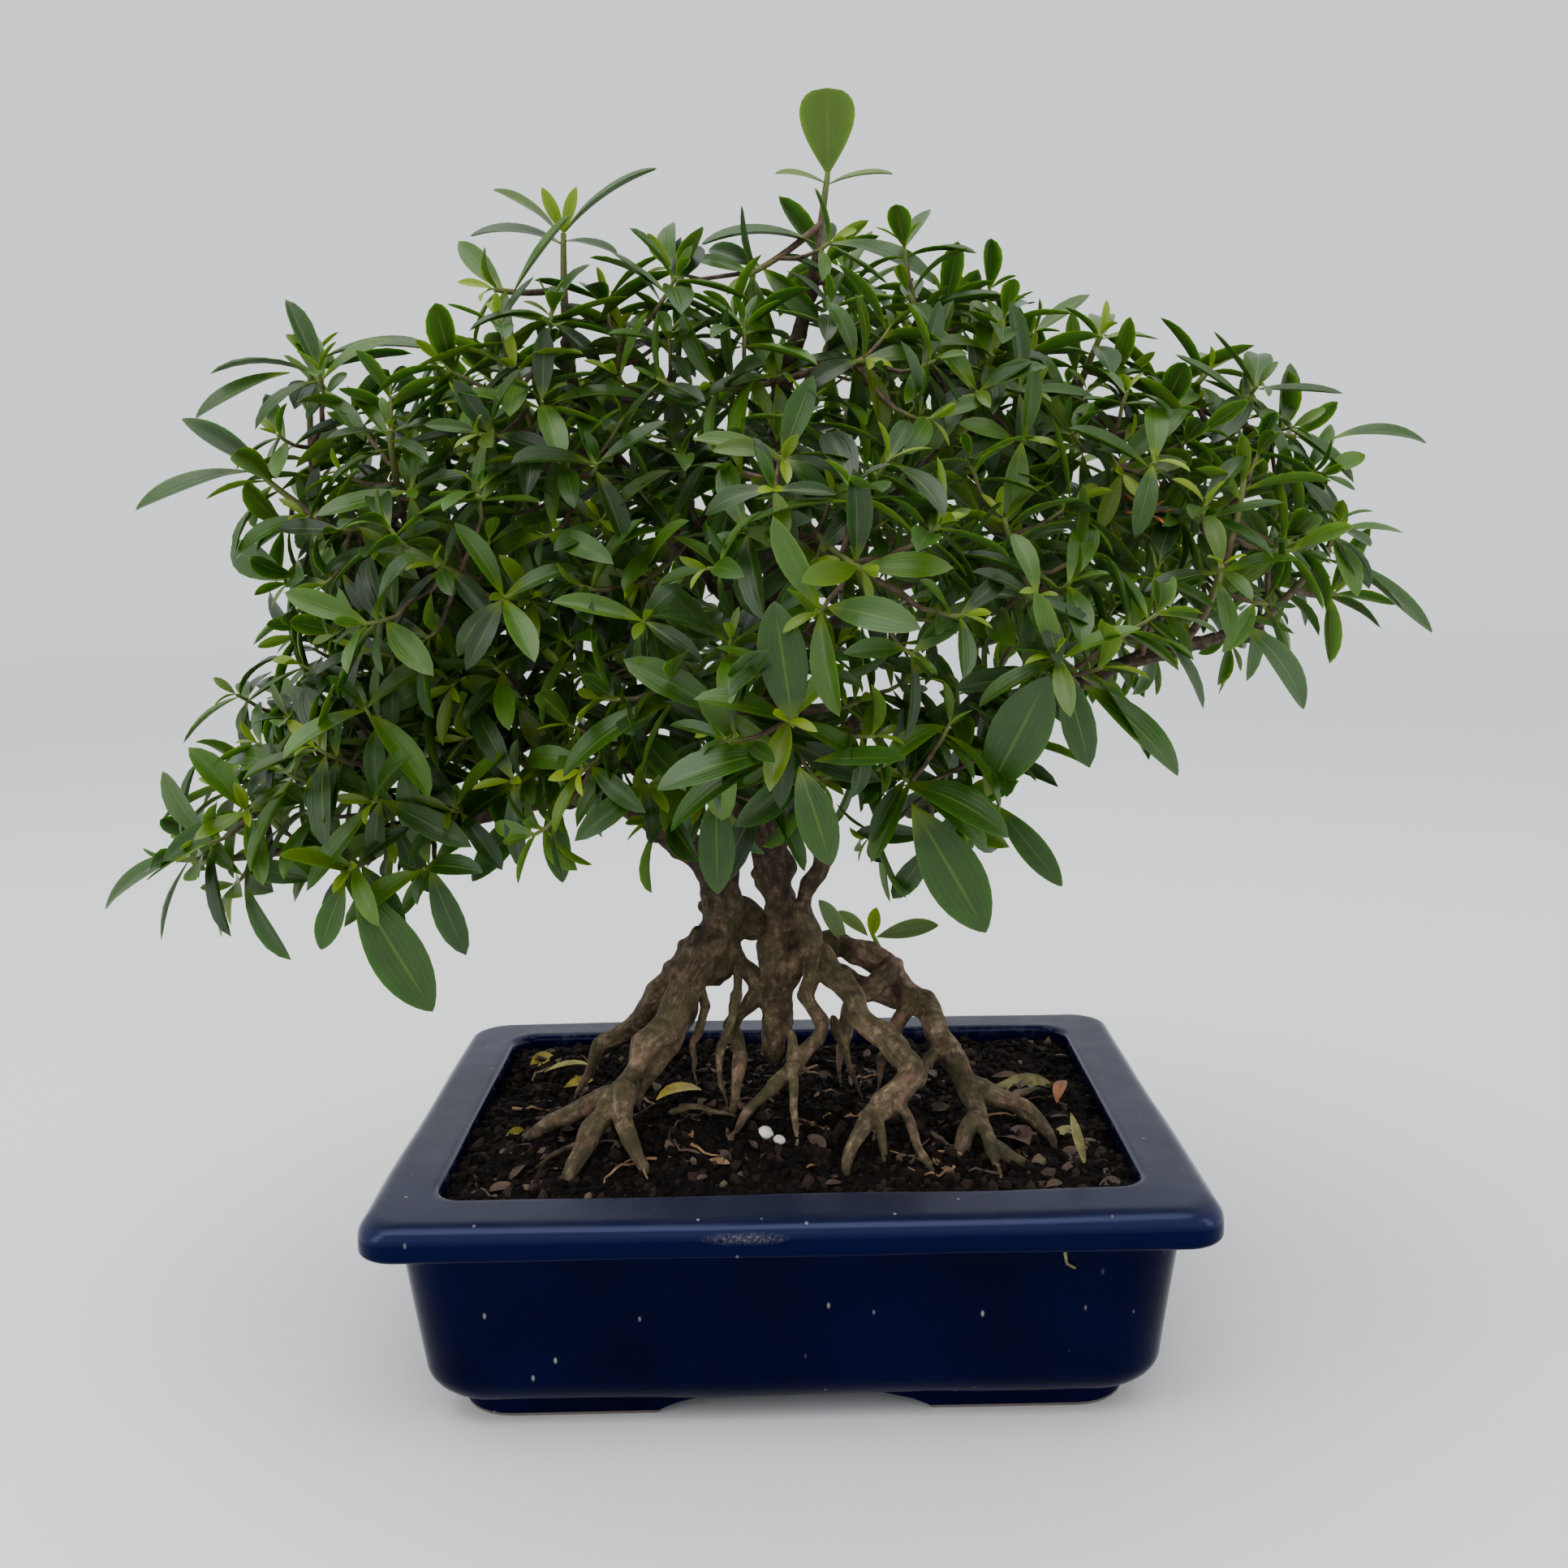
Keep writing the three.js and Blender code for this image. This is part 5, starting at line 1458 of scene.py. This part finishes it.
hold_points = np.array([list(point) for point, _ in holds])
hold_reach = np.linalg.norm(hold_points - np.array(CROWN_MIDDLE), axis=1)
for tip in fill_tips:
    distance = np.linalg.norm(hold_points - np.array(tip), axis=1)
    outward = np.maximum(0, hold_reach - (tip - CROWN_MIDDLE).length + 4)
    chosen = int(np.argmin(distance + 1.2 * outward))
    if distance[chosen] < 60:
        root, name = holds[chosen]
        draw_side_twig(sketches[name], crown_chance, root, tip)

leaf_total = 0
for name, sketch in sketches.items():
    for owner, base, tip, width, kind, age in lone_leaves:
        if owner == name:
            base_at, tip_at = over_soil(base), over_soil(tip)
            along = tip_at - base_at
            face = Vector((0, -0.5, 1)) if abs(along.normalized().z) < 0.7 else Vector((0, -1, 0.4))
            sketch.add_leaf(base_at, along, face, along.length * 1.04, width, 6 + kind, age, 0.5)
    leaf_total += sum(sketch.facts["is_leaf"])
    limb, number = name.rsplit("_", 1)
    piece = run_tree(f"{limb}_spray_{number}", sketch.to_object("sketch"), shoot_tree, shoot_materials)
    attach(piece, "root")
    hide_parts(f"{limb}_shoot_{number}")
print("leaves:", leaf_total)

# %% Sucker on the arching root
arch_samples = smooth_route(root_routes["right_arch"])
sucker = Sketch()
sucker_start = arch_samples[int(0.34 * (len(arch_samples) - 1))][0]
sucker.add_twig(bent_line(sucker_start, over_soil((24, 15, 45)), Vector((0, 0, -1)), 5), 0.9, 0.6, 0.5, 1.0)
for base, tip, width, age in (((25, 14, 44), (42, 10, 49), 1.3, 0.45), ((17, 13, 42), (10, 10, 56), 1.3, 0.4),
                              ((24, 14, 44), (25, 11, 53), 1.4, 1.0), ((23, 15, 44), (15, 24, 50), 1.1, 0.6)):
    along = over_soil(tip) - over_soil(base)
    sucker.add_leaf(over_soil(base), along, Vector((0, -0.6, 1)), along.length, width, 6, age, 0.5)
sucker_piece = run_tree("root_sucker_spray", sucker.to_object("sketch"), shoot_tree, shoot_materials)
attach(sucker_piece, "root")
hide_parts("root_sucker")

# %% [markdown]
# ## On the soil
# Old leaves turn yellow and drop, and dry to tan and brown. Chips of bark and pale dead roots lie
# among them. The four largest leaves and the two pellets have solids of their own in the frame.
# The small litter counts as soil, and grows from the same tree of nodes as the shoots.

# %% Small litter


def dry_material(name, pale, deep, roughness=0.6):
    material, tree, shader = new_material(name)
    where = node(tree, "ShaderNodeTexCoord").outputs["Object"]
    blotch = noise_at(tree, where, 3, 5, 0.6)
    tree.links.new(ramp(tree, blotch, [(0.35, deep), (0.65, pale)]), shader.inputs["Base Color"])
    shader.inputs["Roughness"].default_value = roughness
    bump = node(tree, "ShaderNodeBump", {"Height": blotch, "Strength": 0.4, "Distance": 0.3 * MM})
    tree.links.new(bump.outputs["Normal"], shader.inputs["Normal"])
    return material


def lying_leaf(sketch, chance, x, y, heading, length, width, tilt=0.25):
    """A leaf point on the soil, turned about the vertical and tilted a little by chance."""
    along = Vector((math.cos(heading), math.sin(heading), chance.uniform(0, tilt)))
    face = Vector((chance.uniform(-0.4, 0.4), chance.uniform(-0.7, 0.2), 1))
    base = Vector((x, y, crumbled_height(x, y) + 0.7))
    sketch.add_leaf(base, along, face, length, width, chance.randrange(len(blade_bends)), 0.0, 0.5)


litter_chance = random.Random(5)
dry_tuft = Sketch()
for _ in range(16):
    away = Vector((litter_chance.uniform(-1, 1), litter_chance.uniform(-1, 0.3), litter_chance.uniform(-0.2, 1)))
    dry_tuft.add_leaf(over_soil((88, -44, 160)), away, UP, litter_chance.uniform(5, 8), 0.5, 0, 0.0, 0.5)
paint = dry_material("withered_flower_bracts", "#b0682a", "#6e3a18", 0.75)
tuft_piece = run_tree("withered_tuft", dry_tuft.to_object("sketch"), shoot_tree, {
    "Blades": blade_kinds, "Twig Skin": paint, "Leaf Top": paint, "Leaf Underside": paint})
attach(tuft_piece, "root")
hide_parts("right_shoot_1")

half_x, half_y = opening.x - 6, opening.y - 5
litter = {
    "yellow": ("#b9a72c", "#77701f", [(-64, 17, 0.4, 9, 1.5), (-74, -19, 0.9, 7, 1.3), (-77, 37, 1.1, 12, 1.3)]),
    "straw": ("#8b8450", "#56502f", [(54, 9, 0.25, 24, 0.9), (58, 14, 0.1, 17, 1.3), (68, -21, 0.1, 11, 1.5)]),
    "tan": ("#a07d55", "#5f462f", [(-68, -23, 1.2, 6, 1.6), (-62, -43, 0.3, 6, 1.5), (-24, -36, 1.9, 5, 1.4),
                                   (-20, -42, 5.6, 7, 0.9), (4, -48, 0.7, 4, 1.6), (14, -25, 0.1, 7, 1.2)]),
    "brown": ("#5a4334", "#2c2019", [(litter_chance.uniform(-half_x, half_x), litter_chance.uniform(-half_y, half_y),
                                      litter_chance.uniform(0, 6.28), litter_chance.uniform(3, 8),
                                      litter_chance.uniform(0.8, 2.0)) for _ in range(110)]),
}
for name, (pale, deep, leaves_down) in litter.items():
    sketch = Sketch()
    for leaf_down in leaves_down:
        lying_leaf(sketch, litter_chance, *leaf_down)
    if name == "straw":
        sketch.add_leaf(Vector((73, -42, soil_level)), Vector((-0.25, 0.1, 1)), Vector((0, -1, 0.2)), 14, 0.6, 0, 0, 0)
        wall_y = rim_overhang - pot_size.y / 2
        hanging_shred = ((60, 46.6), (63.4, 46.8), (63.2, 44), (63.6, 41.5), (65.5, 40.4))
        sketch.add_twig([Vector((x, wall_y - 0.2, z)) for x, z in hanging_shred], 0.55, 0.3, 0.0, 0.0)
    if name in ("tan", "brown"):
        for _ in range(26):
            x, y = litter_chance.uniform(-half_x, half_x), litter_chance.uniform(-half_y, half_y)
            heading, bend = litter_chance.uniform(0, 6.28), litter_chance.uniform(-0.35, 0.35)
            line = []
            for _ in range(litter_chance.randrange(5, 10)):
                if abs(x) < half_x and abs(y) < half_y:
                    line.append(Vector((x, y, crumbled_height(x, y) + litter_chance.uniform(0.3, 1.4))))
                x, y = x + 2 * math.cos(heading), y + 2 * math.sin(heading)
                heading += bend + litter_chance.uniform(-0.3, 0.3)
            if len(line) > 2:
                sketch.add_twig(line, 0.45, 0.2, 0.0, 0.0)
    paint = dry_material(f"dry_{name}_leaf_litter", pale, deep, 0.75)
    piece = run_tree(f"soil_litter_{name}", sketch.to_object("sketch"), shoot_tree, {
        "Blades": blade_kinds, "Twig Skin": paint, "Leaf Top": paint, "Leaf Underside": paint})
    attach(piece, "root")
    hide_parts("soil")
    print(name, "litter faces:", len(piece.data.polygons))
remove_collection(blade_kinds)

# %% Fallen leaves and pellets


def on_soil(share_x, share_y, lift):
    x = share_x * (pot_size.x / 2 - rim_width)
    y = share_y * (pot_size.y / 2 - rim_width)
    return Vector((x, y, soil_height(x, y) + lift))


fallen = [
    ("yellow", (-0.42, -0.2), 0.4, 0.5, 15, (1.1, 0.5, 0.3, 0.06), 2.0, "#d0b820", "#a08a14"),
    ("lime", (-0.85, 0.5), 0.2, 0.3, 15, (0.6, 0.5, 0.3, 0.0), 1.4, "#a8a84a", "#78762c"),
    ("orange", (0.86, -0.06), 1.2, 0.5, 11, (0.5, 0.6, 0.3, 0.0), 1.2, "#b0703a", "#7a4a24"),
    ("brown", (0.72, -0.56), 1.9, 0.1, 18, (0.7, 0.5, 0.5, 0.1), 2.0, "#5c3f2e", "#35251a"),
]
for name, shares, heading, tilt, length, bends, width, pale, deep in fallen:
    mesh = blade_mesh(f"fallen_{name}", *bends)
    scale = Matrix.Diagonal((width * length * MM, length * MM, length * MM, 1))
    turn = Matrix.Rotation(heading - math.pi / 2, 4, "Z") @ Matrix.Rotation(tilt, 4, "X")
    mesh.transform(Matrix.Translation(place(*on_soil(*shares, 1.6))) @ turn @ scale)
    piece = add_object(f"dropped_leaf_{name}", mesh)
    mesh.materials.append(dry_material(f"withered_{name}_leaf", pale, deep))
    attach(piece, "root")
    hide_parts(f"fallen_leaf_{name}")

pellet_paint = dry_material("chalky_white_pellet", "#efece4", "#c9c4b8", 0.8)
for name, shares, radius in (("large", (-0.07, -0.6), 2.0), ("small", (-0.03, -0.65), 1.5)):
    shape = bmesh.new()
    bmesh.ops.create_icosphere(shape, subdivisions=3, radius=radius * MM)
    for vertex in shape.verts:
        vertex.co *= 1 + 0.3 * noise.noise(vertex.co / (1.8 * MM))
        vertex.co.z *= 0.75
    mesh = bpy.data.meshes.new(f"white_pellet_{name}")
    shape.to_mesh(mesh)
    shape.free()
    mesh.transform(Matrix.Translation(place(*on_soil(*shares, 1.0))))
    mesh.materials.append(pellet_paint)
    for face in mesh.polygons:
        face.use_smooth = True
    piece = add_object(f"white_pellet_{name}", mesh)
    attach(piece, "root")
    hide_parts(f"pellet_{name}")

# %% [markdown]
# ## Drain mesh
# Squares of black plastic net keep the soil in over the drain holes. Their CAD solids are the right
# shape and only need their plastic.

# %% Plastic for the drain mesh
net_plastic, tree, shader = new_material("moulded_black_polypropylene")
where = node(tree, "ShaderNodeTexCoord").outputs["Object"]
scuffs = noise_at(tree, where, 2, 4)
tree.links.new(ramp(tree, scuffs, [(0.3, "#121212"), (0.8, "#2a2a2a")]), shader.inputs["Base Color"])
shader.inputs["Roughness"].default_value = 0.5
for side in ("left", "right"):
    net = frame["nodes"][f"drain_mesh_{side}"]
    net.data.materials.clear()
    net.data.materials.append(net_plastic)
